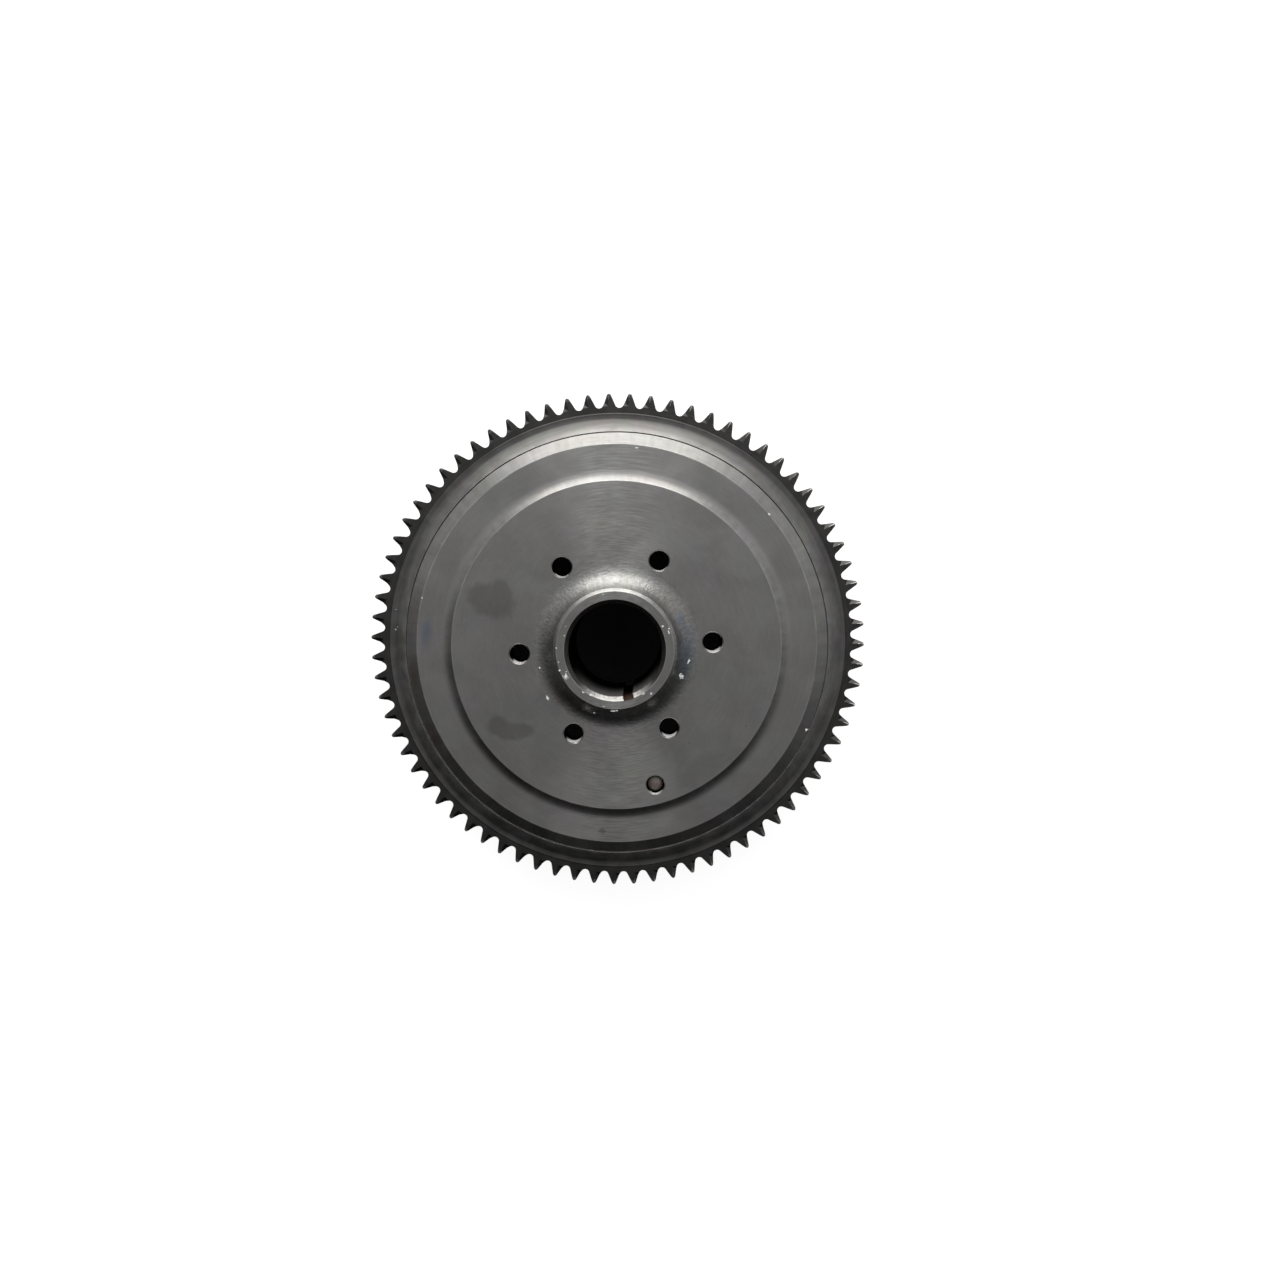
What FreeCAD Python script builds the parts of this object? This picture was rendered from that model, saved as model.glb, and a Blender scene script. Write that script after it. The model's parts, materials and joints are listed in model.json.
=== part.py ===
import FreeCAD, Part
import math
import os

import Sketcher

# Magneto flywheel of a small engine with a shrunk-on starter ring gear.
# Frame: the spin axis is Z, the open rim lies on Z = 0, the hub points up, and a bolt hole lies on +X.

PART_NAME = "flywheel"

# Driving dimensions, in millimetres unless the name says otherwise. Heights are above the open rim.
SIZES = {
    # ring gear
    "teeth_count": 75,
    "tip_radius": 97.8,
    "root_radius": 92.4,
    "valley_round": 1.65,
    "tip_round": 0.9,
    "tip_lift": 0.06,
    "tip_clear": 0.12,
    "outside_radius": 99.5,
    "tooth_shift_deg": 1.66,
    "bevel_taper_deg": 50,
    "bevel_depth": 1.8,
    "bevel_foot_radius": 93,
    "bevel_far": 0.9,
    "leading_foot": 3.6,
    "leading_tip": 4.1,
    "trailing_depth": 0.8,
    "trailing_foot_radius": 95,
    "trailing_foot": 2.25,
    "trailing_tip": 5.2,
    "gear_back_height": 26,
    "gear_back_chamfer": 0.6,
    "tooth_face_height": 38,
    "land_height": 38.3,
    "land_inner_radius": 88.5,
    "land_outer_radius": 90.2,
    "land_foot_radius": 90.5,
    "seam_gap": 0.15,
    # turned shell, from the bore outwards
    "bore_radius": 17.5,
    "mouth_radius": 19.2,
    "mouth_depth": 1.6,
    "hub_face_radius": 22.3,
    "hub_radius": 23.4,
    "hub_chamfer": 1.1,
    "hub_cove": 8.5,
    "hub_height": 56.2,
    "disc_radius": 63.9,
    "disc_height": 46.3,
    "annulus_inner_radius": 68.5,
    "annulus_radius": 77.8,
    "annulus_height": 44.6,
    "seam_radius": 82.6,
    "seam_height": 42.5,
    "skirt_radius": 85,
    "rim_chamfer": 0.8,
    # hollow side of the shell
    "boss_radius": 25,
    "boss_cove": 4,
    "boss_chamfer": 1,
    "boss_end_height": 18,
    "ceiling_height": 36,
    "ceiling_radius": 69,
    "ledge_height": 33.5,
    "ledge_radius": 71.5,
    "pocket_radius": 75,
    "groove_depth": 1,
    "groove_floor": 1.2,
    "groove_top": 2.4,
    # holes and keyway
    "bolt_circle_radius": 37.5,
    "bolt_hole_radius": 3.75,
    "bolt_mouth_radius": 4.25,
    "bolt_count": 6,
    "drill_run_out": 1,
    "keyway_half": 2,
    "keyway_reach": 19.4,
    "key_line_deg": 282.3,
    "pin_circle_radius": 56.2,
    "pin_radius": 3,
    "pin_pocket_radius": 3.5,
    "pin_mouth_radius": 3.95,
    "pin_foot_height": 38.5,
    "pin_pocket_depth": 3.2,
    "pin_top_depth": 1.9,
    "pin_dome": 0.6,
    # magnets and what holds them
    "magnet_count": 12,
    "magnet_inner_radius": 68,
    "magnet_low": 3,
    "magnet_high": 31,
    "magnet_span_deg": 27.6,
    "finger_span_deg": 2.2,
    "cage_inner_radius": 68.2,
    "sleeve_thickness": 0.6,
    "sleeve_flange_radius": 74.6,
    "sleeve_top_height": 33,
    "clip_inner_radius": 73.4,
    "clip_gap_deg": 14,
    # trigger lugs welded to the skirt
    "lug_radius": 88.4,
    "lug_low": 8,
    "lug_high": 17,
    "lug_long_deg": 24,
    "lug_short_deg": 9,
    "lug_line_deg": 40,
}

doc = FreeCAD.newDocument(PART_NAME)


def make_sheet():
    """Put every driving dimension in the spreadsheet, each under its own alias."""
    sheet = doc.addObject("Spreadsheet::Sheet", "Dims")
    for row, (name, value) in enumerate(SIZES.items(), start=1):
        sheet.set("A%d" % row, name)
        sheet.set("B%d" % row, str(value))
        sheet.setAlias("B%d" % row, name)
    doc.recompute()
    return sheet


sheet = make_sheet()


def size(name):
    """One cell of the sheet."""
    return float(sheet.get(name))


def total(words):
    """The value of a sum of cells, such as 'disc_height + hub_cove'."""
    value = 0.0
    sign = 1
    for word in words.split():
        if word in "+-":
            sign = 1 if word == "+" else -1
        else:
            value += sign * size(word)
    return value


def formula(words):
    """The same sum as an expression that refers to the sheet."""
    return " ".join(word if word in "+-" else "Dims." + word for word in words.split())


def new_body(name):
    body = doc.addObject("PartDesign::Body", name)
    body.Label = name
    return body


def new_sketch(body, name, role="XY_Plane", offset=None):
    """A sketch on one of the body's own origin planes, raised by a sheet formula if asked."""
    plane = [feature for feature in body.Origin.OriginFeatures if feature.Role == role][0]
    sketch = body.newObject("Sketcher::SketchObject", name)
    sketch.AttachmentSupport = [(plane, "")]
    sketch.MapMode = "FlatFace"
    if offset:
        sketch.setExpression(".AttachmentOffset.Base.z", formula(offset))
    return sketch


def pin_point(sketch, edge, vertex, across, up):
    """Fix one vertex of a sketch by its two coordinates, each a sum of cells, or '' for zero."""
    for kind, words, axis in (("DistanceX", across, -2), ("DistanceY", up, -1)):
        if words:
            number = sketch.addConstraint(Sketcher.Constraint(kind, -1, 1, edge, vertex, total(words)))
            sketch.setExpression("Constraints[%d]" % number, formula(words))
        else:
            sketch.addConstraint(Sketcher.Constraint("PointOnObject", edge, vertex, axis))


def draw_section(sketch, corners):
    """Draw a closed outline. A corner is (across, up), each a sum of cells, or '' for zero. A third word makes
    the edge that ends there an arc: 'over' centres it straight above or below that corner, 'beside' level with it."""
    spots = [FreeCAD.Vector(total(corner[0]), total(corner[1]), 0) for corner in corners]
    edges = []
    for index, corner in enumerate(corners):
        start, end = spots[index - 1], spots[index]
        if len(corner) == 2:
            edges.append((sketch.addGeometry(Part.LineSegment(start, end), False), 1, 2))
            continue
        across, up = end.x - start.x, end.y - start.y
        if corner[2] == "over":
            centre = FreeCAD.Vector(end.x, (start.y + end.y) / 2 - across ** 2 / (2 * up), 0)
        else:
            centre = FreeCAD.Vector((start.x + end.x) / 2 - up ** 2 / (2 * across), end.y, 0)
        from_angle = math.atan2(start.y - centre.y, start.x - centre.x)
        to_angle = math.atan2(end.y - centre.y, end.x - centre.x)
        anticlockwise = (to_angle - from_angle) % (2 * math.pi) < math.pi
        circle = Part.Circle(centre, FreeCAD.Vector(0, 0, 1), centre.distanceToPoint(end))
        limits = (from_angle, to_angle) if anticlockwise else (to_angle, from_angle)
        edge = sketch.addGeometry(Part.ArcOfCircle(circle, *limits), False)
        first, last = (1, 2) if anticlockwise else (2, 1)
        edges.append((edge, first, last))
        level = "Vertical" if corner[2] == "over" else "Horizontal"
        sketch.addConstraint(Sketcher.Constraint(level, edge, 3, edge, last))
    for index, corner in enumerate(corners):
        edge, first, last = edges[index]
        next_edge, next_first, next_last = edges[(index + 1) % len(edges)]
        sketch.addConstraint(Sketcher.Constraint("Coincident", edge, last, next_edge, next_first))
        pin_point(sketch, edge, last, corner[0], corner[1])


def turn_section(body, name, corners):
    """Revolve a closed half section about the body's Z axis."""
    sketch = new_sketch(body, name + "_section", "XZ_Plane")
    draw_section(sketch, corners)
    turned = body.newObject("PartDesign::Revolution", name)
    turned.Profile = sketch
    turned.ReferenceAxis = (sketch, ["V_Axis"])
    turned.Angle = 360
    doc.recompute()
    return turned


def around_axis(body, name, originals, count):
    """Repeat features around the body's Z axis."""
    z_axis = [feature for feature in body.Origin.OriginFeatures if feature.Role == "Z_Axis"][0]
    pattern = body.newObject("PartDesign::PolarPattern", name)
    pattern.Originals = originals
    pattern.Axis = (z_axis, [""])
    pattern.Angle = 360
    pattern.setExpression("Occurrences", formula(count))
    body.Tip = pattern
    doc.recompute()
    return pattern


def drill(body, name, axis_radius, corners, line_angle=None):
    """Cut a stepped hole: a half section turned about a line parallel to Z at axis_radius."""
    sketch = new_sketch(body, name + "_section", "XZ_Plane")
    if line_angle:
        sketch.AttachmentOffset = FreeCAD.Placement(FreeCAD.Vector(), FreeCAD.Rotation(FreeCAD.Vector(0, 1, 0), 1))
        sketch.setExpression(".AttachmentOffset.Rotation.Angle", formula(line_angle) + " * 1 deg")
    draw_section(sketch, corners)
    low = FreeCAD.Vector(total(axis_radius), 0, 0)
    line = sketch.addGeometry(Part.LineSegment(low, low + FreeCAD.Vector(0, size("ceiling_height"), 0)), True)
    pin_point(sketch, line, 1, axis_radius, "")
    pin_point(sketch, line, 2, axis_radius, "ceiling_height")
    groove = body.newObject("PartDesign::Groove", name)
    groove.Profile = sketch
    groove.ReferenceAxis = (sketch, ["Axis0"])
    groove.Angle = 360
    doc.recompute()
    return groove


def cut_through(body, name, sketch):
    """A pocket from a sketch on the XY plane that runs out of both ends of the body."""
    pocket = body.newObject("PartDesign::Pocket", name)
    pocket.Profile = sketch
    pocket.SideType = "Symmetric"
    pocket.Type = "ThroughAll"
    doc.recompute()
    return pocket


def make_rotor_shell():
    """The turned steel cup: keyed hub, raised disc, chamfered crown, ring-gear seat and magnet pocket."""
    body = new_body("rotor_shell")
    turn_section(body, "shell_turning", [
        ("bore_radius", "hub_height - mouth_depth"),
        ("mouth_radius", "hub_height"),
        ("hub_face_radius", "hub_height"),
        ("hub_radius", "hub_height - hub_chamfer"),
        ("hub_radius", "disc_height + hub_cove"),
        ("hub_radius + hub_cove", "disc_height", "over"),
        ("disc_radius", "disc_height"),
        ("annulus_inner_radius", "annulus_height", "over"),
        ("annulus_radius", "annulus_height"),
        ("seam_radius - seam_gap", "seam_height"),
        ("seam_radius", "seam_height - seam_gap"),
        ("seam_radius", "gear_back_height"),
        ("skirt_radius", "gear_back_height"),
        ("skirt_radius", "rim_chamfer"),
        ("skirt_radius - rim_chamfer", ""),
        ("pocket_radius + rim_chamfer", ""),
        ("pocket_radius", "rim_chamfer"),
        ("pocket_radius", "groove_floor"),
        ("pocket_radius + groove_depth", "groove_floor"),
        ("pocket_radius + groove_depth", "groove_top"),
        ("pocket_radius", "groove_top"),
        ("pocket_radius", "ledge_height"),
        ("ledge_radius", "ledge_height"),
        ("ceiling_radius", "ceiling_height"),
        ("boss_radius + boss_cove", "ceiling_height"),
        ("boss_radius", "ceiling_height - boss_cove", "beside"),
        ("boss_radius", "boss_end_height + boss_chamfer"),
        ("boss_radius - boss_chamfer", "boss_end_height"),
        ("bore_radius + boss_chamfer", "boss_end_height"),
        ("bore_radius", "boss_end_height + boss_chamfer"),
    ])

    keyway = new_sketch(body, "keyway_outline")
    keyway.AttachmentOffset = FreeCAD.Placement(FreeCAD.Vector(), FreeCAD.Rotation(FreeCAD.Vector(0, 0, 1), 1))
    keyway.setExpression(".AttachmentOffset.Rotation.Angle", formula("key_line_deg") + " * 1 deg")
    draw_section(keyway, [
        ("keyway_reach", "- keyway_half"),
        ("keyway_reach", "keyway_half"),
        ("", "keyway_half"),
        ("", "- keyway_half"),
    ])
    cut_through(body, "keyway", keyway)

    bolt_hole = drill(body, "bolt_hole", "bolt_circle_radius", [
        ("bolt_circle_radius + bolt_hole_radius", "ceiling_height - drill_run_out"),
        ("bolt_circle_radius + bolt_hole_radius", "disc_height - bolt_mouth_radius + bolt_hole_radius"),
        ("bolt_circle_radius + bolt_mouth_radius", "disc_height"),
        ("bolt_circle_radius + bolt_mouth_radius", "disc_height + drill_run_out"),
        ("bolt_circle_radius", "disc_height + drill_run_out"),
        ("bolt_circle_radius", "ceiling_height - drill_run_out"),
    ])
    around_axis(body, "bolt_circle", [bolt_hole], "bolt_count")

    drill(body, "pin_pocket", "pin_circle_radius", [
        ("pin_circle_radius + pin_radius", "pin_foot_height"),
        ("pin_circle_radius + pin_radius", "disc_height - pin_pocket_depth"),
        ("pin_circle_radius + pin_pocket_radius", "disc_height - pin_pocket_depth"),
        ("pin_circle_radius + pin_pocket_radius", "disc_height - pin_mouth_radius + pin_pocket_radius"),
        ("pin_circle_radius + pin_mouth_radius", "disc_height"),
        ("pin_circle_radius + pin_mouth_radius", "disc_height + drill_run_out"),
        ("pin_circle_radius", "disc_height + drill_run_out"),
        ("pin_circle_radius", "pin_foot_height"),
    ], line_angle="key_line_deg")
    return body


def draw_tooth_gap(sketch):
    """The space between two teeth, centred on +X: a round valley, two straight flanks and the rounded
    corners of the teeth on either side. Neighbouring gaps stay tip_clear apart, outside the tip circle."""
    half_pitch = math.pi / size("teeth_count")
    valley_round, tip_round = size("valley_round"), size("tip_round")
    valley_centre = FreeCAD.Vector(size("root_radius") + valley_round, 0, 0)
    tip_distance = size("tip_radius") + size("tip_lift") - tip_round
    tip_centre = FreeCAD.Vector(tip_distance * math.cos(half_pitch), tip_distance * math.sin(half_pitch), 0)
    between = tip_centre - valley_centre
    slope = math.atan2(between.y, between.x) - math.asin((valley_round + tip_round) / between.Length)
    normal = FreeCAD.Vector(-math.sin(slope), math.cos(slope), 0)
    flank_low, flank_high = valley_centre + normal * valley_round, tip_centre - normal * tip_round
    tip_clear = size("tip_clear")
    out = math.sqrt(tip_round ** 2 - tip_clear ** 2)
    tip_end = tip_centre + FreeCAD.Vector(out, -tip_clear, 0)
    outside = FreeCAD.Vector(size("outside_radius"), tip_end.y, 0)
    up = FreeCAD.Vector(0, 0, 1)

    def angle(point, centre):
        return math.atan2(point.y - centre.y, point.x - centre.x)

    def mirrored(point):
        return FreeCAD.Vector(point.x, -point.y, 0)

    def add(shape, construction=False):
        return sketch.addGeometry(shape, construction)

    def arc(centre, radius, first, last):
        return add(Part.ArcOfCircle(Part.Circle(centre, up, radius), angle(first, centre), angle(last, centre)))

    valley = arc(valley_centre, valley_round, flank_low, mirrored(flank_low))
    upper_flank = add(Part.LineSegment(flank_low, flank_high))
    lower_flank = add(Part.LineSegment(mirrored(flank_low), mirrored(flank_high)))
    upper_tip = arc(tip_centre, tip_round, flank_high, tip_end)
    lower_tip = arc(mirrored(tip_centre), tip_round, mirrored(tip_end), mirrored(flank_high))
    upper_side = add(Part.LineSegment(tip_end, outside))
    lower_side = add(Part.LineSegment(mirrored(tip_end), mirrored(outside)))
    end = add(Part.LineSegment(outside, mirrored(outside)))
    tooth_line = add(Part.LineSegment(FreeCAD.Vector(), tip_centre), True)

    def hold(kind, *places, words=None):
        number = sketch.addConstraint(Sketcher.Constraint(kind, *places))
        if words:
            sketch.setExpression("Constraints[%d]" % number, words)

    hold("Coincident", tooth_line, 1, -1, 1)
    hold("Angle", -1, 1, tooth_line, 1, half_pitch, words="180 deg / Dims.teeth_count")
    hold("Distance", tooth_line, tip_distance, words=formula("tip_radius + tip_lift - tip_round"))
    hold("PointOnObject", valley, 3, -1)
    hold("DistanceX", -1, 1, valley, 3, valley_centre.x, words=formula("root_radius + valley_round"))
    hold("Radius", valley, valley_round, words=formula("valley_round"))
    hold("Radius", upper_tip, tip_round, words=formula("tip_round"))
    hold("Coincident", upper_tip, 3, tooth_line, 2)
    hold("Tangent", valley, 1, upper_flank, 1)
    hold("Tangent", upper_flank, 2, upper_tip, 1)
    hold("Coincident", upper_tip, 2, upper_side, 1)
    hold("Horizontal", upper_side)
    hold("DistanceY", upper_tip, 2, upper_tip, 3, tip_clear, words=formula("tip_clear"))
    hold("Coincident", upper_side, 2, end, 1)
    hold("DistanceX", -1, 1, end, 1, outside.x, words=formula("outside_radius"))
    hold("Coincident", valley, 2, lower_flank, 1)
    hold("Coincident", lower_flank, 2, lower_tip, 2)
    hold("Coincident", lower_tip, 1, lower_side, 1)
    hold("Coincident", lower_side, 2, end, 2)
    hold("Vertical", valley, 1, valley, 2)
    hold("Symmetric", upper_flank, 2, lower_flank, 2, -1)
    hold("Symmetric", upper_tip, 3, lower_tip, 3, -1)
    hold("Vertical", upper_tip, 2, lower_tip, 1)
    hold("Horizontal", lower_side)
    hold("Vertical", end)


def bevel_teeth(body, name, corners, depth):
    """A tapered pocket in the tooth faces, whose sloping wall is the lead-in facet of one flank."""
    sketch = new_sketch(body, name + "_outline", offset="tooth_face_height")
    draw_section(sketch, corners)
    pocket = body.newObject("PartDesign::Pocket", name)
    pocket.Profile = sketch
    pocket.Type = "Length"
    pocket.setExpression("Length", formula(depth))
    pocket.setExpression("TaperAngle", formula("bevel_taper_deg") + " * 1 deg")
    doc.recompute()
    return pocket


def make_ring_gear():
    """The starter ring gear, with a raised inner collar and lead-in facets on the hub side of its teeth."""
    body = new_body("ring_gear")
    turn_section(body, "gear_blank", [
        ("seam_radius", "seam_height - seam_gap"),
        ("seam_radius + seam_gap", "seam_height"),
        ("land_inner_radius", "land_height"),
        ("land_outer_radius", "land_height"),
        ("land_foot_radius", "tooth_face_height"),
        ("tip_radius", "tooth_face_height"),
        ("tip_radius", "gear_back_height + gear_back_chamfer"),
        ("tip_radius - gear_back_chamfer", "gear_back_height"),
        ("seam_radius", "gear_back_height"),
    ])
    gap = new_sketch(body, "gap_outline")
    draw_tooth_gap(gap)
    gap_cut = cut_through(body, "tooth_gap", gap)
    leading = bevel_teeth(body, "leading_bevel", [
        ("bevel_foot_radius", "- leading_foot"),
        ("outside_radius", "- leading_tip"),
        ("outside_radius", "bevel_far"),
        ("bevel_foot_radius", "bevel_far"),
    ], "bevel_depth")
    trailing = bevel_teeth(body, "trailing_bevel", [
        ("trailing_foot_radius", "trailing_foot"),
        ("trailing_foot_radius", "- bevel_far"),
        ("outside_radius", "- bevel_far"),
        ("outside_radius", "trailing_tip"),
    ], "trailing_depth")
    around_axis(body, "teeth", [gap_cut, leading, trailing], "teeth_count")
    body.Placement = FreeCAD.Placement(FreeCAD.Vector(), FreeCAD.Rotation(FreeCAD.Vector(0, 0, 1), 1))
    body.setExpression(".Placement.Rotation.Angle", "Dims.tooth_shift_deg * 1 deg + 180 deg / Dims.teeth_count")
    return body


def make_locating_pin():
    """The hardened pin pressed into the disc, with a domed top just under the surface."""
    body = new_body("locating_pin")
    turn_section(body, "pin_turning", [
        ("", "pin_foot_height"),
        ("pin_radius", "pin_foot_height"),
        ("pin_radius", "disc_height - pin_top_depth - pin_dome"),
        ("", "disc_height - pin_top_depth", "over"),
    ])
    body.setExpression(".Placement.Base.x", "Dims.pin_circle_radius * cos(Dims.key_line_deg * 1 deg)")
    body.setExpression(".Placement.Base.y", "Dims.pin_circle_radius * sin(Dims.key_line_deg * 1 deg)")
    return body


def make_sector(name, outer, inner, low, high, span):
    """A block cut from a tube, its middle on +X: two Part cylinders, one taken from the other."""
    wedge = doc.addObject("Part::Cylinder", name + "_outside")
    wedge.setExpression("Radius", formula(outer))
    wedge.setExpression("Height", formula(high) + " - (" + formula(low) + ")")
    wedge.setExpression("Angle", span + " * 1 deg")
    wedge.Placement = FreeCAD.Placement(FreeCAD.Vector(), FreeCAD.Rotation(FreeCAD.Vector(0, 0, 1), 1))
    wedge.setExpression(".Placement.Rotation.Angle", "-0.5 * " + span + " * 1 deg")
    wedge.setExpression(".Placement.Base.z", formula(low))
    core = doc.addObject("Part::Cylinder", name + "_inside")
    core.setExpression("Radius", formula(inner))
    core.setExpression("Height", formula(high))
    sector = doc.addObject("Part::Cut", name)
    sector.Base = wedge
    sector.Tool = core
    sector.Label = name
    return sector


def turn_about_axis(piece, words):
    """Turn a piece about Z by an angle formula in degrees."""
    piece.Placement = FreeCAD.Placement(FreeCAD.Vector(), FreeCAD.Rotation(FreeCAD.Vector(0, 0, 1), 1))
    piece.setExpression(".Placement.Rotation.Angle", words + " * 1 deg")


def make_magnet(index):
    """One arc magnet, glued in the pocket between two fingers of the cage."""
    magnet = make_sector("magnet_%02d" % (index + 1), "pocket_radius", "magnet_inner_radius",
                         "magnet_low", "magnet_high", "Dims.magnet_span_deg")
    turn_about_axis(magnet, "(%d + 0.5) * 360 / Dims.magnet_count" % index)
    return magnet


def make_magnet_cage():
    """The moulded spacer: a ring against the ledge, with a finger between each two magnets."""
    ring = make_sector("cage_ring", "pocket_radius", "cage_inner_radius", "magnet_high", "ledge_height", "360")
    fingers = []
    for index in range(int(size("magnet_count"))):
        finger = make_sector("cage_finger_%02d" % (index + 1), "pocket_radius", "cage_inner_radius",
                             "magnet_low", "magnet_high", "Dims.finger_span_deg")
        turn_about_axis(finger, "%d * 360 / Dims.magnet_count" % index)
        fingers.append(finger)
    cage = doc.addObject("Part::MultiFuse", "magnet_cage")
    cage.Shapes = [ring] + fingers
    cage.Label = "magnet_cage"
    return cage


def make_magnet_sleeve():
    """The thin steel liner over the magnets' inner faces, with a flange over their open ends."""
    body = new_body("magnet_sleeve")
    turn_section(body, "sleeve_turning", [
        ("magnet_inner_radius - sleeve_thickness", "groove_top"),
        ("sleeve_flange_radius", "groove_top"),
        ("sleeve_flange_radius", "magnet_low"),
        ("magnet_inner_radius", "magnet_low"),
        ("magnet_inner_radius", "sleeve_top_height"),
        ("magnet_inner_radius - sleeve_thickness", "sleeve_top_height"),
    ])
    return body


def make_retaining_ring():
    """The split spring ring that snaps into the groove at the open rim."""
    ring = make_sector("retaining_ring", "pocket_radius + groove_depth", "clip_inner_radius",
                       "groove_floor", "groove_top", "(360 - Dims.clip_gap_deg)")
    turn_about_axis(ring, "180")
    return ring


def make_trigger_lug(name, span, line):
    """A steel bar welded on the skirt below the teeth, which passes the ignition pick-up."""
    lug = make_sector(name, "lug_radius", "skirt_radius", "lug_low", "lug_high", span)
    turn_about_axis(lug, line)
    return lug


def make_pieces():
    pieces = [make_rotor_shell(), make_ring_gear(), make_locating_pin()]
    pieces += [make_magnet(index) for index in range(int(size("magnet_count")))]
    pieces += [make_magnet_cage(), make_magnet_sleeve(), make_retaining_ring()]
    pieces.append(make_trigger_lug("trigger_lug_long", "Dims.lug_long_deg", "Dims.lug_line_deg"))
    pieces.append(make_trigger_lug("trigger_lug_short", "Dims.lug_short_deg", "(Dims.lug_line_deg + 180)"))
    return pieces


def check(pieces):
    """Stop if any object failed or any sub-part is not one valid closed solid."""
    doc.recompute()
    for thing in doc.Objects:
        if "Invalid" in thing.State or "Error" in thing.State:
            raise RuntimeError("%s is %s" % (thing.Label, thing.State))
    for piece in pieces:
        shape = piece.Shape
        if shape.isNull() or not shape.isValid() or len(shape.Solids) != 1 or shape.Volume <= 0:
            raise RuntimeError("%s has no single valid solid" % piece.Label)


def export(pieces):
    os.makedirs("parts", exist_ok=True)
    for piece in pieces:
        piece.Shape.exportStep(os.path.join("parts", piece.Label + ".step"))
        print("%-20s %9.1f mm3" % (piece.Label, piece.Shape.Volume))


pieces = make_pieces()
check(pieces)
export(pieces)
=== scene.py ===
import json
import math

import bpy
from mathutils import Matrix, Vector


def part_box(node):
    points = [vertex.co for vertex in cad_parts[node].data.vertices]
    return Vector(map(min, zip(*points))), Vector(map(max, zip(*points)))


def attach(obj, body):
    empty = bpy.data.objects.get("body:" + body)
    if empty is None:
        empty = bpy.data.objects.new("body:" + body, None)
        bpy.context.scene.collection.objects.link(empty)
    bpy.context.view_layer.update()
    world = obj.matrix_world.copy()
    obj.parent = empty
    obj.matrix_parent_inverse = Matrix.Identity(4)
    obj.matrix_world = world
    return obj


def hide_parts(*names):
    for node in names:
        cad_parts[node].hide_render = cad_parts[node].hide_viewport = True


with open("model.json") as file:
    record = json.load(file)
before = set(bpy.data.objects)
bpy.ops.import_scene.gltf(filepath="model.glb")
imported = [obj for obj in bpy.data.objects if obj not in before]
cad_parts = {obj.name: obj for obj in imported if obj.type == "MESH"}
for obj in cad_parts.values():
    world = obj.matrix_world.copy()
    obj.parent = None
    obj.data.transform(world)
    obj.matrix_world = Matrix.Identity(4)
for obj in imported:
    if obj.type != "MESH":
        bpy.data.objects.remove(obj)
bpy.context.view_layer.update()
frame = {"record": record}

# ---------------------------------------------------------------- sizes, in metres: some from the frame, the rest given here
MM = 0.001
mounts = {mount["name"]: mount for mount in frame["record"]["mounts"]}
shell_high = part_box("rotor_shell")[1]
gear_low, gear_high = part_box("ring_gear")
sleeve_low, sleeve_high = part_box("magnet_sleeve")
cage_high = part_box("magnet_cage")[1]
clip_low, clip_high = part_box("retaining_ring")
pin_low, pin_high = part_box("locating_pin")

bore_radius = mounts["crank_bore"]["dims"]["r_mm"] * MM
bolt_circle_radius = mounts["bolt_circle"]["dims"]["pcd_mm"] / 2 * MM
bolt_hole_radius = mounts["bolt_circle"]["dims"]["hole_r_mm"] * MM
bolt_count = mounts["bolt_circle"]["dims"]["count"]
disc_height = mounts["bolt_circle"]["pos_m"][2]
hub_height = shell_high.z
boss_end = mounts["hub_shoulder"]["pos_m"][2]
skirt_radius = shell_high.x

tip_radius = -gear_low.x
gear_back = gear_low.z
seam_height = gear_high.z
gear_width = 12 * MM
tooth_face = gear_back + gear_width
teeth = 75
pitch_angle = 2 * math.pi / teeth
tooth_shift = math.radians(1.66)

hub_face_radius = 22.3 * MM
hub_radius = 23.4 * MM
hub_chamfer = 1.1 * MM
hub_cove = 8.5 * MM
mouth_radius = 19.2 * MM
mouth_depth = 1.6 * MM
disc_radius = 63.9 * MM
annulus_inner = 68.5 * MM
annulus_radius = 77.8 * MM
annulus_height = disc_height - 1.7 * MM
seam_radius = 82.6 * MM
seam_gap = 0.22 * MM
root_radius = tip_radius - 5.4 * MM
land_inner = 88.5 * MM
land_outer = 90.2 * MM
land_foot = 90.5 * MM
land_height = tooth_face + 0.3 * MM
pocket_radius = cage_high.x
ledge_radius = 71.5 * MM
ledge_height = cage_high.z
ceiling_radius = 69 * MM
ceiling_height = 36 * MM
boss_radius = 25 * MM
boss_cove = 4 * MM
groove_radius = -clip_low.x
key_reach = 19.4 * MM
key_half_width = 2 * MM
key_line = math.atan2(pin_low.y + pin_high.y, pin_low.x + pin_high.x)
pin_circle = Vector((pin_low.x + pin_high.x, pin_low.y + pin_high.y)).length / 2
pin_radius = (pin_high.x - pin_low.x) / 2
pin_top = pin_high.z
pocket_floor = disc_height - 3.2 * MM
magnet_low, magnet_high = (corner.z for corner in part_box("magnet_01"))
magnets = 12
magnet_inner = 68 * MM
cage_inner = 68.2 * MM
sleeve_inner = 67.4 * MM
sleeve_flange = sleeve_high.x
clip_inner = 73.4 * MM
lug_radius = 88.4 * MM
lug_low, lug_high = (corner.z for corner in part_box("trigger_lug_long"))
lug_line, long_lug, short_lug = 40, 24, 9       # degrees: the long lug's middle, and each lug's span

LAND_STEPS = 4
TURN_STEPS = teeth * LAND_STEPS
CORNER_STEPS = 4
HOLD = 0.35 * MM

# The way to the window, and square to it, across the closed face, and away from it. The finishes paint light
# and shade along these directions.
AHEAD, ASIDE, NEAR_SIDE = (0.063, 0.998, 0.0), (0.998, -0.063, 0.0), (0.0, -1.0, 0.0)


# ---------------------------------------------------------------- modelling helpers
def deselect():
    if bpy.context.mode != "OBJECT":
        bpy.ops.object.mode_set(mode="OBJECT")
    bpy.ops.object.select_all(action="DESELECT")


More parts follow.
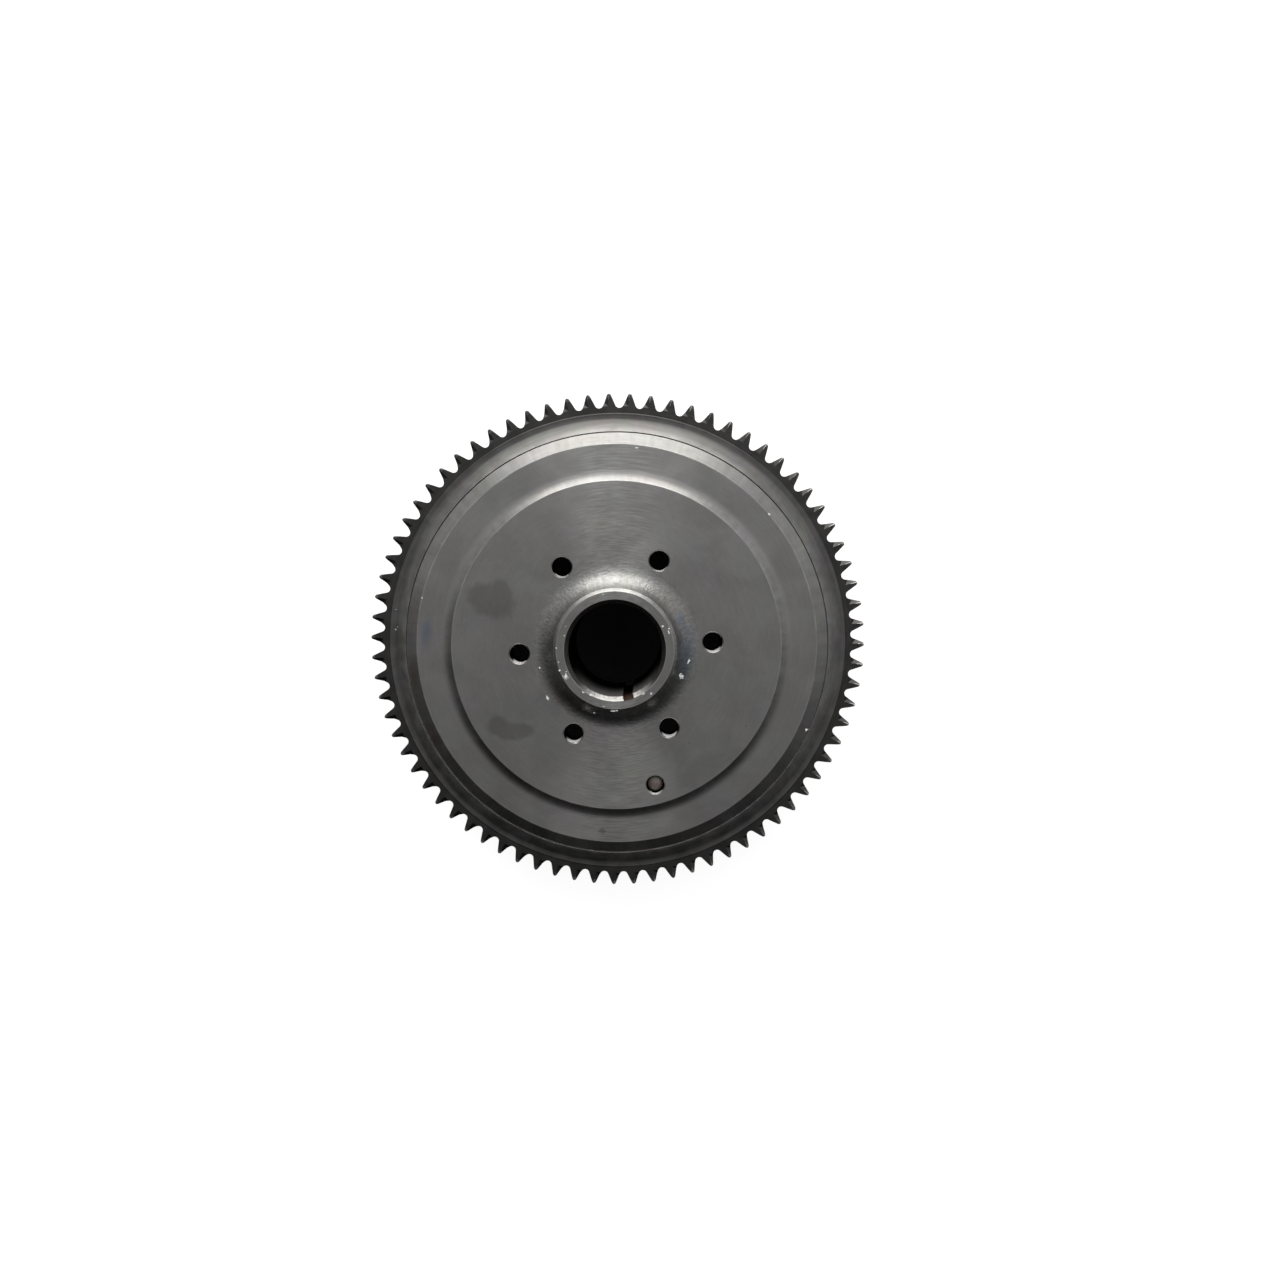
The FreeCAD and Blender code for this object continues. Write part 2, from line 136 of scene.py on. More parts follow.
def edit(piece):
    """Open one piece in edit mode with nothing selected."""
    deselect()
    bpy.context.view_layer.objects.active = piece
    piece.select_set(True)
    bpy.ops.object.mode_set(mode="EDIT")
    bpy.ops.mesh.select_all(action="DESELECT")


def close_edit():
    bpy.ops.object.mode_set(mode="OBJECT")


def pick(piece, kind, wanted):
    """In edit mode, select the vertices, edges or faces for which wanted(item) is true."""
    bpy.ops.mesh.select_mode(type=kind)
    bpy.ops.mesh.select_all(action="DESELECT")
    bpy.ops.object.mode_set(mode="OBJECT")
    items = {"VERT": piece.data.vertices, "EDGE": piece.data.edges, "FACE": piece.data.polygons}[kind]
    count = 0
    for item in items:
        item.select = bool(wanted(item))
        count += item.select
    bpy.ops.object.mode_set(mode="EDIT")
    return count


def ends(piece, edge):
    """Both ends of an edge."""
    return [piece.data.vertices[index].co for index in edge.vertices]


def soften(path):
    """Round the corners of a closed path of (point, softness): each soft corner becomes a short curve. Long
    straight stretches get a point close to each end, which keeps their shading flat."""
    rounded = []
    for index, (point, softness) in enumerate(path):
        if not softness:
            rounded.append(point)
            continue
        before = path[index - 1][0] - point
        after = path[(index + 1) % len(path)][0] - point
        reach = min(softness, before.length * 0.45, after.length * 0.45)
        first = point + before.normalized() * reach
        last = point + after.normalized() * reach
        for step in range(CORNER_STEPS + 1):
            share = step / CORNER_STEPS
            rounded.append(first.lerp(point, share).lerp(point.lerp(last, share), share))
    held = []
    for here, there in zip(rounded, rounded[1:] + rounded[:1]):
        held.append(here)
        run = there - here
        if run.length > 3 * MM:
            held += [here + run.normalized() * HOLD, there - run.normalized() * HOLD]
    return held


def arc(centre, radius, start, end, steps):
    """Points on an arc, from angle start to angle end in degrees, in the plane of the path."""
    angles = [math.radians(start + (end - start) * step / steps) for step in range(steps + 1)]
    return [Vector(centre) + radius * Vector((math.cos(a), math.sin(a))) for a in angles]


def cove(start, end, steps):
    """Points of a hollow fillet that leaves start and runs out flat at end, its centre straight above end."""
    across, up = end[0] - start[0], end[1] - start[1]
    radius = (across ** 2 + up ** 2) / (2 * abs(up))
    rise = math.copysign(radius, up)
    begin = math.asin(across / radius)
    angles = [begin * (1 - step / steps) for step in range(steps + 1)]
    return [Vector((end[0] - radius * math.sin(a), end[1] - rise + rise * math.cos(a))) for a in angles]


def dished(start, end, sag, steps):
    """Points of a slope from start to end that is hollow by sag at its middle."""
    start, end = Vector(start), Vector(end)
    run = end - start
    below = Vector((run.y, -run.x)).normalized() * math.copysign(2 * sag, run.x)
    middle = (start + end) / 2 + below
    shares = [step / steps for step in range(steps + 1)]
    return [start.lerp(middle, share).lerp(middle.lerp(end, share), share) for share in shares]


def draw_wire(name, points, lift):
    """Draw a closed wire: one vertex, extruded from point to point. lift places a path point in space."""
    deselect()
    spots = [lift(point) for point in points]
    bpy.ops.mesh.primitive_plane_add(size=MM, location=spots[0])
    wire = bpy.context.object
    wire.name = name
    wire.data.name = name
    bpy.ops.object.transform_apply(location=True, rotation=True, scale=True)
    bpy.ops.object.mode_set(mode="EDIT")
    bpy.ops.mesh.select_mode(type="VERT")
    bpy.ops.mesh.select_all(action="SELECT")
    bpy.ops.mesh.merge(type="CENTER")
    for here, there in zip(spots, spots[1:] + spots[:1]):
        bpy.ops.mesh.extrude_region_move(TRANSFORM_OT_translate={"value": there - here})
    bpy.ops.mesh.select_all(action="SELECT")
    bpy.ops.mesh.remove_doubles(threshold=0.001 * MM)
    return wire


def turned(name, path, steps=TURN_STEPS, centre=(0, 0)):
    """A turned piece: a closed half section of (radius, height) points, spun about a line parallel to Z."""
    piece = draw_wire(name, soften(path), lambda p: Vector((centre[0] + p[0], centre[1], p[1])))
    bpy.ops.mesh.spin(steps=steps, angle=2 * math.pi, center=(centre[0], centre[1], 0), axis=(0, 0, 1))
    tidy_mesh()
    return piece


def tidy_mesh():
    """Close seams and point every face outwards, then leave edit mode."""
    bpy.ops.mesh.select_all(action="SELECT")
    bpy.ops.mesh.remove_doubles(threshold=0.001 * MM)
    bpy.ops.mesh.normals_make_consistent(inside=False)
    bpy.ops.object.mode_set(mode="OBJECT")


def hard(radius, height):
    return (Vector((radius, height)), 0)


def soft(radius, height, softness):
    return (Vector((radius, height)), softness)


def along(points):
    """Points of a smooth stretch, with no corner to soften."""
    return [(point, 0) for point in points]


def copy_turned(piece, name, angle):
    """A copy with its own mesh, turned about Z."""
    twin = piece.copy()
    twin.data = piece.data.copy()
    twin.name = name
    twin.data.name = name
    twin.data.transform(Matrix.Rotation(angle, 4, "Z"))
    bpy.context.scene.collection.objects.link(twin)
    return twin


def joined(pieces, name):
    deselect()
    for piece in pieces:
        piece.select_set(True)
    bpy.context.view_layer.objects.active = pieces[0]
    bpy.ops.object.join()
    whole = bpy.context.object
    whole.name = name
    whole.data.name = name
    return whole


def cut(piece, cutter):
    """Take the cutter's volume out of the piece, and remove the cutter."""
    deselect()
    bpy.context.view_layer.objects.active = piece
    piece.select_set(True)
    saw = piece.modifiers.new("cut", "BOOLEAN")
    saw.operation = "DIFFERENCE"
    saw.solver = "EXACT"
    saw.object = cutter
    bpy.ops.object.modifier_apply(modifier=saw.name)
    bpy.data.objects.remove(cutter)


def smooth(piece, angle=32):
    """Smooth shading that breaks at real edges, with flat faces kept flat by weighted normals."""
    deselect()
    bpy.context.view_layer.objects.active = piece
    piece.select_set(True)
    bpy.ops.object.shade_smooth_by_angle(angle=math.radians(angle))
    weighted = piece.modifiers.new("weighted", "WEIGHTED_NORMAL")
    weighted.keep_sharp = True
    weighted.weight = 100
    bpy.ops.object.modifier_apply(modifier=weighted.name)


def place(piece, slot_name, material, *nodes):
    """Ride the only body, stand for CAD nodes, and take a finish."""
    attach(piece, "root")
    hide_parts(*nodes)
    piece.data.materials.clear()
    piece.data.materials.append(material)


# ---------------------------------------------------------------- the turned shell
def shell_path():
    crisp, eased, broad = 0.15 * MM, 0.3 * MM, 0.5 * MM
    path = [
        soft(bore_radius, hub_height - mouth_depth, eased),
        soft(mouth_radius, hub_height, crisp),
        soft(hub_face_radius, hub_height, crisp),
        soft(hub_radius, hub_height - hub_chamfer, eased),
    ]
    path += along(cove((hub_radius, disc_height + hub_cove), (hub_radius + hub_cove, disc_height), 14))
    path.append(soft(disc_radius, disc_height, crisp))
    path += along(cove((disc_radius, disc_height), (annulus_inner, annulus_height), 8)[1:])
    path += [
        soft(annulus_radius, annulus_height, crisp),
        soft(seam_radius - seam_gap, seam_height, crisp),
        hard(seam_radius - 0.02 * MM, seam_height - 2 * seam_gap),
        hard(seam_radius - 0.02 * MM, gear_back),
        soft(skirt_radius, gear_back, crisp),
        soft(skirt_radius, 0, 0.8 * MM),
        soft(pocket_radius, 0, 0.8 * MM),
        soft(pocket_radius, clip_low.z, crisp),
        hard(groove_radius, clip_low.z),
        hard(groove_radius, clip_high.z),
        soft(pocket_radius, clip_high.z, crisp),
        hard(pocket_radius, ledge_height),
        soft(ledge_radius, ledge_height, crisp),
        soft(ceiling_radius, ceiling_height, broad),
    ]
    inner = (boss_radius + boss_cove, ceiling_height - boss_cove)
    path += along(arc(inner, boss_cove, 90, 180, 8))
    path += [
        soft(boss_radius, boss_end, MM),
        soft(bore_radius, boss_end, MM),
    ]
    return path


def hole_cutter(name, centre_radius, angle, radius, mouth, foot, steps=48):
    """A turned cutter for a hole in the disc with a small countersink. foot is the path of its lower end."""
    above = disc_height + MM
    cone = mouth - radius
    cutter = turned(name, foot + [
        soft(radius, disc_height - cone, 0.15 * MM),
        soft(mouth, disc_height, 0.12 * MM), hard(mouth + MM, above), hard(0, above),
    ], steps, (centre_radius, 0))
    cutter.data.transform(Matrix.Rotation(angle, 4, "Z"))
    return cutter


def keyway_cutter():
    """A square key slot with slightly rounded floor corners, along the whole bore."""
    deselect()
    bpy.ops.mesh.primitive_cube_add(size=1, location=(key_reach / 2, 0, hub_height / 2))
    slot = bpy.context.object
    slot.scale = (key_reach, 2 * key_half_width, 2 * hub_height)
    bpy.ops.object.transform_apply(location=True, rotation=True, scale=True)
    edit(slot)
    pick(slot, "EDGE", lambda edge: all(spot.x > key_reach / 2 for spot in ends(slot, edge))
         and abs(ends(slot, edge)[0].z - ends(slot, edge)[1].z) > MM)
    bpy.ops.mesh.bevel(offset=0.35 * MM, segments=3)
    close_edit()
    slot.data.transform(Matrix.Rotation(key_line, 4, "Z"))
    return slot


def make_shell():
    shell = turned("rotor_shell_turned", shell_path())
    below = ceiling_height - MM
    holes = [hole_cutter("bolt_hole", bolt_circle_radius, 0, bolt_hole_radius, bolt_hole_radius + 0.5 * MM,
                         [hard(0, below), hard(bolt_hole_radius, below)])]
    for index in range(1, bolt_count):
        turn = index * 2 * math.pi / bolt_count
        holes.append(copy_turned(holes[0], "bolt_hole_%d" % index, turn))
    pocket = pin_radius + 0.5 * MM
    foot = [hard(0, pin_low.z), hard(pin_radius, pin_low.z), hard(pin_radius, pocket_floor),
            hard(pocket, pocket_floor)]
    holes.append(hole_cutter("pin_pocket", pin_circle, key_line, pocket, pocket + 0.45 * MM, foot))
    cut(shell, joined(holes, "hole_cutters"))
    cut(shell, keyway_cutter())
    smooth(shell)
    return shell


# ---------------------------------------------------------------- the ring gear
def polar(radius, angle):
    return Vector((radius * math.cos(angle), radius * math.sin(angle)))


def tooth_outline():
    """One pitch of the ring along its axis, with the tooth on +X, from the edge of the land outwards."""
    valley_round, tip_round = 1.65 * MM, 0.9 * MM
    half = pitch_angle / 2
    valley = Vector((root_radius + valley_round, 0))
    tip = polar(tip_radius - tip_round, half)
    between = tip - valley
    slope = math.atan2(between.y, between.x) - math.asin((valley_round + tip_round) / between.length)
    slope = math.degrees(slope)
    side = arc(valley, valley_round, 180, slope + 90, 5)
    side += arc(tip, tip_round, slope - 90, math.degrees(half), 4)
    turn = Matrix.Rotation(-half, 2)
    side = [turn @ point for point in side]
    other = [Vector((point.x, -point.y)) for point in reversed(side[:-1])]
    inner = [polar(land_foot, half - pitch_angle * step / LAND_STEPS) for step in range(LAND_STEPS + 1)]
    return inner + side + other


def wedge(name, planes, low, high):
    """A cutter: a block from low to high, cut back to the side that each plane's normal points to."""
    deselect()
    middle, span = (low + high) / 2, high - low
    bpy.ops.mesh.primitive_cube_add(size=1, location=middle)
    block = bpy.context.object
    block.name = name
    block.scale = span
    bpy.ops.object.transform_apply(location=True, rotation=True, scale=True)
    bpy.ops.object.mode_set(mode="EDIT")
    for spot, normal in planes:
        bpy.ops.mesh.select_all(action="SELECT")
        bpy.ops.mesh.bisect(plane_co=spot, plane_no=normal, use_fill=True, clear_inner=True)
    tidy_mesh()
    return block


def facet_cutter(name, foot, tip, turn):
    """The space over one lead-in facet. Its edge on the tooth face runs from foot to tip, and it dips from
    there, and from a line square to it at the foot. turn brings it from the gap to the tooth."""
    dip = math.radians(40)
    line = (tip - foot).normalized()
    across = Vector((-line.y, line.x)) if foot.y < 0 else Vector((line.y, -line.x))

    def tilted(level):
        return Vector((level.x * math.sin(dip), level.y * math.sin(dip), math.cos(dip)))

    spot = Vector((foot.x, foot.y, tooth_face))
    reach = 3 * MM
    cutter = wedge(name, [(spot, tilted(across)), (spot, tilted(Vector((1, 0))))],
                   Vector((foot.x - MM, -5 * MM, tooth_face - reach)),
                   Vector((tip.x + MM, 5 * MM, tooth_face + reach)))
    cutter.data.transform(Matrix.Rotation(turn, 4, "Z"))
    return cutter


def make_tooth():
    """One pitch of the ring: a tooth with two facets, open where it meets its neighbours and the collar."""
    half, chamfer = pitch_angle / 2, 0.6 * MM
    leading_foot, leading_tip = Vector((93, -3.6)) * MM, Vector((99.5, -4.1)) * MM
    trailing_foot, trailing_tip = Vector((95, 2.25)) * MM, Vector((99.5, 5.2)) * MM
    tooth = draw_wire("tooth", tooth_outline(), lambda p: Vector((p.x, p.y, tooth_face)))
    bpy.ops.mesh.edge_face_add()
    bpy.ops.mesh.extrude_region_move(TRANSFORM_OT_translate={"value": (0, 0, gear_back - tooth_face)})
    bpy.ops.mesh.select_all(action="SELECT")
    bpy.ops.mesh.normals_make_consistent(inside=False)
    bpy.ops.mesh.bisect(plane_co=(tip_radius - chamfer, 0, gear_back), plane_no=(1, 0, -1),
                        use_fill=True, clear_outer=True)
    bpy.ops.object.mode_set(mode="OBJECT")
    ease_outline(tooth)
    cut(tooth, facet_cutter("leading_cutter", leading_foot, leading_tip, half))
    cut(tooth, facet_cutter("trailing_cutter", trailing_foot, trailing_tip, -half))
    ease_ridge(tooth)
    open_tooth(tooth)
    return tooth


def on_cut(spot):
    """Whether a point of the tooth lies where the pitch meets the next one, or on the edge of the land."""
    angle = math.atan2(spot.y, spot.x)
    return abs(abs(angle) - pitch_angle / 2) < 1e-5 or math.hypot(spot.x, spot.y) < land_foot + 0.01 * MM


def ease_outline(tooth):
    """Break the edge where the tooth face drops to the flanks and the valleys."""
    edit(tooth)
    pick(tooth, "EDGE", lambda edge: all(abs(spot.z - tooth_face) < 0.001 * MM for spot in ends(tooth, edge))
         and not all(on_cut(spot) for spot in ends(tooth, edge)))
    bpy.ops.mesh.bevel(offset=0.12 * MM, segments=2, profile=0.5)
    close_edit()


def ease_ridge(tooth):
    """Round the worn ridge between the two facets, out to the tip."""
    dips = {}
    for face in tooth.data.polygons:
        for key in face.edge_keys:
            dips.setdefault(key, []).append(face.normal.z)
    edit(tooth)
    pick(tooth, "EDGE", lambda edge: all(0.6 < dip < 0.9 for dip in dips[tuple(sorted(edge.vertices))])
         and all(spot.x > tip_radius - 4 * MM for spot in ends(tooth, edge)))
    bpy.ops.mesh.bevel(offset=0.3 * MM, segments=3, profile=0.5)
    close_edit()


def open_tooth(tooth):
    """Take away the walls where the pitch meets its neighbours and the collar."""
    edit(tooth)
    pick(tooth, "FACE", lambda face: abs(face.normal.z) < 0.5
         and all(on_cut(tooth.data.vertices[index].co) for index in face.vertices))
    bpy.ops.mesh.delete(type="FACE")
    close_edit()


def make_collar():
    """The ring's inner part: an open turned strip from the land, over the cove, round to the back."""
    crisp, sag = 0.12 * MM, 0.55 * MM
    inner, mouth = seam_radius + 0.02 * MM, seam_radius + seam_gap
    path = [
        hard(land_foot, gear_back),
        hard(inner, gear_back),
        hard(inner, seam_height - 2 * seam_gap),
        soft(mouth, seam_height, crisp),
    ]
    path += along(dished((mouth, seam_height), (land_inner, land_height), sag, 8)[1:])
    path += [soft(land_outer, land_height, crisp), hard(land_foot, tooth_face)]
    collar = draw_wire("collar", soften(path), lambda p: Vector((p[0], 0, p[1])))
    bpy.ops.object.mode_set(mode="OBJECT")
    edit(collar)
    pick(collar, "EDGE",
         lambda edge: all(abs(spot.x - land_foot) < 0.001 * MM for spot in ends(collar, edge)))
    bpy.ops.mesh.delete(type="EDGE_FACE")
    bpy.ops.mesh.select_all(action="SELECT")
    bpy.ops.mesh.spin(steps=TURN_STEPS, angle=2 * math.pi, center=(0, 0, 0), axis=(0, 0, 1))
    tidy_mesh()
    collar.data.transform(Matrix.Rotation(tooth_shift, 4, "Z"))
    return collar


def make_ring_gear():
    tooth = make_tooth()
    ring = [copy_turned(tooth, "tooth_%02d" % number, tooth_shift + number * pitch_angle)
            for number in range(teeth)]
    bpy.data.objects.remove(tooth)
    gear = joined([make_collar()] + ring, "ring_gear_cut")
    edit(gear)
    tidy_mesh()
    smooth(gear, 25)
    return gear


# ---------------------------------------------------------------- pin, magnets and the rest of the cup
def make_pin():
    """The locating pin: a plain pin with a rounded rim and a low dome, standing in its pocket."""
    dome = 0.6 * MM
    rim = pin_top - dome
    rise = (pin_radius ** 2 + dome ** 2) / (2 * dome)
    half = math.degrees(math.asin(pin_radius / rise))
    crown = arc((0, pin_top - rise), rise, 90 - half * 0.9, 90, 6)
    path = [hard(0, pin_low.z), hard(pin_radius, pin_low.z), soft(pin_radius, rim, 0.35 * MM)]
    pin = turned("pin_turned", path + along(crown), 48, (pin_circle, 0))
    pin.data.transform(Matrix.Rotation(key_line, 4, "Z"))
    smooth(pin, 40)
    return pin


def arc_block(name, corners, start, span, steps, bevel):
    """A solid block that follows an arc about Z: a closed section swept from one angle through a span, in
    degrees, with its edges rounded."""
    block = draw_wire(name, corners, lambda p: Vector((p[0], 0, p[1])))
    bpy.ops.mesh.edge_face_add()
    bpy.ops.mesh.spin(steps=steps, angle=math.radians(span), center=(0, 0, 0), axis=(0, 0, 1))
    tidy_mesh()
    step = math.radians(span) / steps
    forward = any(abs(math.atan2(v.co.y, v.co.x) - step) < 0.1 * step for v in block.data.vertices)
    block.data.transform(Matrix.Rotation(math.radians(start if forward else start + span), 4, "Z"))
    deselect()
    bpy.context.view_layer.objects.active = block
    block.select_set(True)
    rounding = block.modifiers.new("rounding", "BEVEL")
    rounding.width = bevel
    rounding.segments = 3
    rounding.limit_method = "ANGLE"
    rounding.angle_limit = math.radians(40)
    bpy.ops.object.modifier_apply(modifier=rounding.name)
    return block


def rectangle(inner, outer, low, high):
    return [(inner, low), (outer, low), (outer, high), (inner, high)]


def make_magnets():
    """Arc magnets, each centred half way between two fingers of the cage."""
    pitch, span = 360 / magnets, 27.6
    first = arc_block("magnet_cut", rectangle(magnet_inner, pocket_radius, magnet_low, magnet_high),
                      (pitch - span) / 2, span, 24, 0.45 * MM)
    smooth(first, 40)
    ring = [first]
    for index in range(1, magnets):
        ring.append(copy_turned(first, "magnet_cut_%02d" % (index + 1), math.radians(index * pitch)))
    first.name = "magnet_cut_01"
    return ring


def make_cage():
    """The moulded spacer: a ring against the ledge and a finger between each two magnets, edges rounded."""
    ring = turned("cage_moulded", [
        soft(cage_inner, magnet_high, 0.3 * MM), hard(pocket_radius, magnet_high),
        soft(pocket_radius, ledge_height, 0.3 * MM), soft(cage_inner, ledge_height, 0.5 * MM),
    ], 144)
    span, overlap = 2.2, 0.4 * MM
    finger = arc_block("finger", rectangle(cage_inner, pocket_radius, magnet_low, magnet_high + overlap),
                       -span / 2, span, 3, 0.3 * MM)
    fingers = [copy_turned(finger, "finger_%02d" % index, index * 2 * math.pi / magnets)
               for index in range(magnets)]
    bpy.data.objects.remove(finger)
    cage = joined([ring] + fingers, "cage_moulded")
    smooth(cage, 40)
    return cage


def make_sleeve():
    """The drawn liner: a thin wall over the magnets' inner faces, rolled out to a flange over their ends."""
    wall = 0.6 * MM
    inner, bottom, top = sleeve_inner, sleeve_low.z, sleeve_high.z
    sleeve = turned("sleeve_drawn", [
        soft(inner, bottom, 1.0 * MM), soft(sleeve_flange, bottom, 0.2 * MM),
        soft(sleeve_flange, bottom + wall, 0.2 * MM), soft(inner + wall, bottom + wall, 0.5 * MM),
        soft(inner + wall, top, 0.2 * MM), soft(inner, top, 0.2 * MM),
    ], 180)
    smooth(sleeve)
    return sleeve


def make_clip():
    """The split wire ring in its groove, with its two ends a little apart."""
    gap = 14
    clip = arc_block("clip_formed", rectangle(clip_inner, groove_radius, clip_low.z, clip_high.z),
                     gap / 2, 360 - gap, 200, 0.35 * MM)
    smooth(clip, 40)
    return clip


def make_lug(name, line, span):
    """One trigger lug on the skirt, its edges rounded."""
    lug = arc_block(name, rectangle(skirt_radius, lug_radius, lug_low, lug_high), line - span / 2, span,
                    span, 0.5 * MM)
    smooth(lug, 40)
    return lug


# ---------------------------------------------------------------- view, floor and light
def make_camera():
    """A camera above the closed face, a little towards +Y and turned a few degrees about the axis."""
    tilt, lean, roll = 0.09541, -0.01578, math.radians(-3.6)
    leaning = Matrix.Rotation(tilt, 3, "X") @ Matrix.Rotation(lean, 3, "Y")
    offset = Vector((-0.06662, -0.02337, -3.385)) * tip_radius
    stand = Matrix.Rotation(roll, 3, "Z") @ leaning.transposed()
    spot = stand @ -offset + Vector((0, 0, tooth_face))
    data = bpy.data.cameras.new("camera")
    data.sensor_width = 36
    data.lens = 23.47
    data.clip_start = 0.01
    camera = bpy.data.objects.new("camera", data)
    camera.matrix_world = Matrix.Translation(spot) @ stand.to_4x4()
    bpy.context.scene.collection.objects.link(camera)
    bpy.context.scene.camera = camera


# ---------------------------------------------------------------- shader building
class Field:
    """One output of a shader node. Arithmetic with it adds Math nodes to the same tree."""

    def __init__(self, tree, socket):
        self.tree, self.socket = tree, socket

    def __add__(self, other):
        return calc("ADD", self, other)

    def __sub__(self, other):
        return calc("SUBTRACT", self, other)

    def __rsub__(self, other):
        return calc("SUBTRACT", other, self)

    def __mul__(self, other):
        return calc("MULTIPLY", self, other)

    def __truediv__(self, other):
        return calc("DIVIDE", self, other)

    def __rtruediv__(self, other):
        return calc("DIVIDE", other, self)

    __radd__, __rmul__ = __add__, __mul__


def fill(socket, value):
    """Set an input, or link it where the value is a field."""
    if isinstance(value, Field):
        value.tree.links.new(value.socket, socket)
    else:
        socket.default_value = value


def add(tree, kind, inputs, **settings):
    node = tree.nodes.new(kind)
    for name, value in settings.items():
        setattr(node, name, value)
    for name, value in inputs.items():
        fill(node.inputs[name], value)
    return node


def field(kind, inputs, out=0, **settings):
    """Add a node to the tree that its inputs come from, and give one of its outputs."""
    tree = next(value.tree for value in inputs.values() if isinstance(value, Field))
    return Field(tree, add(tree, kind, inputs, **settings).outputs[out])


def calc(operation, *values):
    return field("ShaderNodeMath", dict(enumerate(values)), operation=operation)


def most(first, *others):
    for other in others:
        first = calc("MAXIMUM", first, other)
    return first


def vector_calc(operation, *values):
    return field("ShaderNodeVectorMath", dict(enumerate(values)), "Vector", operation=operation)


def dot(first, second):
    return field("ShaderNodeVectorMath", {0: first, 1: second}, "Value", operation="DOT_PRODUCT")


def length(vector):
    return field("ShaderNodeVectorMath", {0: vector}, "Value", operation="LENGTH")


def scaled(vector, factor):
    return field("ShaderNodeVectorMath", {0: vector, "Scale": factor}, "Vector", operation="SCALE")


def vector_of(x, y, z=0.0):
    return field("ShaderNodeCombineXYZ", {"X": x, "Y": y, "Z": z})


def parts_of(vector):
    node = add(vector.tree, "ShaderNodeSeparateXYZ", {"Vector": vector})
    return [Field(vector.tree, socket) for socket in node.outputs]


def blend(share, first, second):
    """A colour between two others."""
    return field("ShaderNodeMix", {"Factor": share, 6: first, 7: second}, 2, data_type="RGBA")


def steps(value, low, high, out_low=0.0, out_high=1.0, kind="SMOOTHSTEP"):
    """Map a value from one range to another, easing at both ends and holding beyond them."""
    return field("ShaderNodeMapRange", {"Value": value, "From Min": low, "From Max": high, "To Min": out_low,
                                        "To Max": out_high}, "Result", interpolation_type=kind)


def ramp(value, low, high, out_low=0.0, out_high=1.0):
    """The same in straight lines."""
    return steps(value, low, high, out_low, out_high, "LINEAR")


def noise(vector, scale, detail=2.0, rough=0.5, warp=0.0, out="Fac"):
    return field("ShaderNodeTexNoise", {"Vector": vector, "Scale": scale, "Detail": detail,
                                        "Roughness": rough, "Distortion": warp}, out)


def object_point(tree):
    return Field(tree, tree.nodes.new("ShaderNodeTexCoord").outputs["Object"])


def facing(tree):
    return Field(tree, tree.nodes.new("ShaderNodeNewGeometry").outputs["Normal"])


def round_axis(point):
    """Distance from the axis and height in metres, and the direction from the axis as a unit vector."""
    x, y, height = parts_of(point)
    flat = vector_of(x, y)
    return length(flat), height, vector_calc("NORMALIZE", flat)


def grey(level, warm=0.0):
    """A grey, a little warm or, with warm below zero, a little blue."""
    return (level * (1 + warm), level, level * (1 - warm), 1)


def new_group(name, inputs, outputs):
    """A node group, the fields that it is given, and the sockets that take its results."""
    group = bpy.data.node_groups.new(name, "ShaderNodeTree")
    for label, (kind, value) in inputs.items():
        socket = group.interface.new_socket(name=label, in_out="INPUT", socket_type=kind)
        socket.default_value = value
    for label, kind in outputs.items():
        group.interface.new_socket(name=label, in_out="OUTPUT", socket_type=kind)
    given = group.nodes.new("NodeGroupInput").outputs
    fields = {label: Field(group, given[label]) for label in inputs}
    return group, fields, group.nodes.new("NodeGroupOutput").inputs


def use_group(tree, group, **values):
    node = tree.nodes.new("ShaderNodeGroup")
    node.node_tree = group
    for name, value in values.items():
        fill(node.inputs[name], value)
    return {socket.name: Field(tree, socket) for socket in node.outputs}


# ---------------------------------------------------------------- effects that several finishes share
FLOAT, COLOUR, VECTOR = "NodeSocketFloat", "NodeSocketColor", "NodeSocketVector"


def lathe_marks_group():
    """Fine grooves round the axis, of uneven depth, that come and go along their length."""
    group, given, result = new_group("lathe_marks", {"Pitch": (FLOAT, 0.35), "Breaks": (FLOAT, 6.0)},
                                     {"Height": FLOAT, "Tone": FLOAT})
    radius, height, way = round_axis(object_point(group))
    turns = (radius + height * 0.7) * 1000.0 / given["Pitch"]
    x, y = parts_of(way)[:2]

    def grooves(drift, detail):
        return noise(vector_of(turns, x * drift, y * drift), 1.0, detail, 0.62)

    fine, broken = grooves(0.6, 3.0), grooves(given["Breaks"], 1.0)
    fill(result["Height"], fine * 0.5 + broken * 0.6)
    fill(result["Tone"], steps(broken, 0.32, 0.68))
    return group


def mottle_group():
    """Slow patches of uneven oxide: a mask, and a faint tint that wanders between warm, green and violet."""
    group, given, result = new_group("mottle", {"Size": (FLOAT, 12.0), "Tint": (FLOAT, 0.5)},
                                     {"Mask": FLOAT, "Colour": COLOUR})
    point = object_point(group)
    scale = 1000.0 / given["Size"]
    fill(result["Mask"], steps(noise(point, scale, 3.0, 0.55, 0.4), 0.32, 0.68))
    elsewhere = vector_calc("ADD", point, (0.31, 0.17, 0.05))
    hue = vector_calc("SUBTRACT", noise(elsewhere, scale * 0.7, 1.0, out="Color"), (0.5, 0.5, 0.5))
    fill(result["Colour"], vector_calc("ADD", scaled(hue, given["Tint"]), (1.0, 1.0, 1.0)))
    return group


def edge_wear_group():
    """A turned edge, at one radius and height in millimetres, that is rubbed bright here and there."""
    group, given, result = new_group("edge_wear", {"Radius": (FLOAT, 50.0), "Height": (FLOAT, 0.0),
                                                   "Width": (FLOAT, 0.3)}, {"Mask": FLOAT})
    point = object_point(group)
    radius, height = round_axis(point)[:2]
    across = radius * 1000.0 - given["Radius"]
    up = height * 1000.0 - given["Height"]
    rubbed = steps(calc("SQRT", across * across + up * up), given["Width"], given["Width"] * 0.3)
    fill(result["Mask"], rubbed * steps(noise(point, 160.0, 3.0), 0.35, 0.62, 0.3, 1.0))
    return group


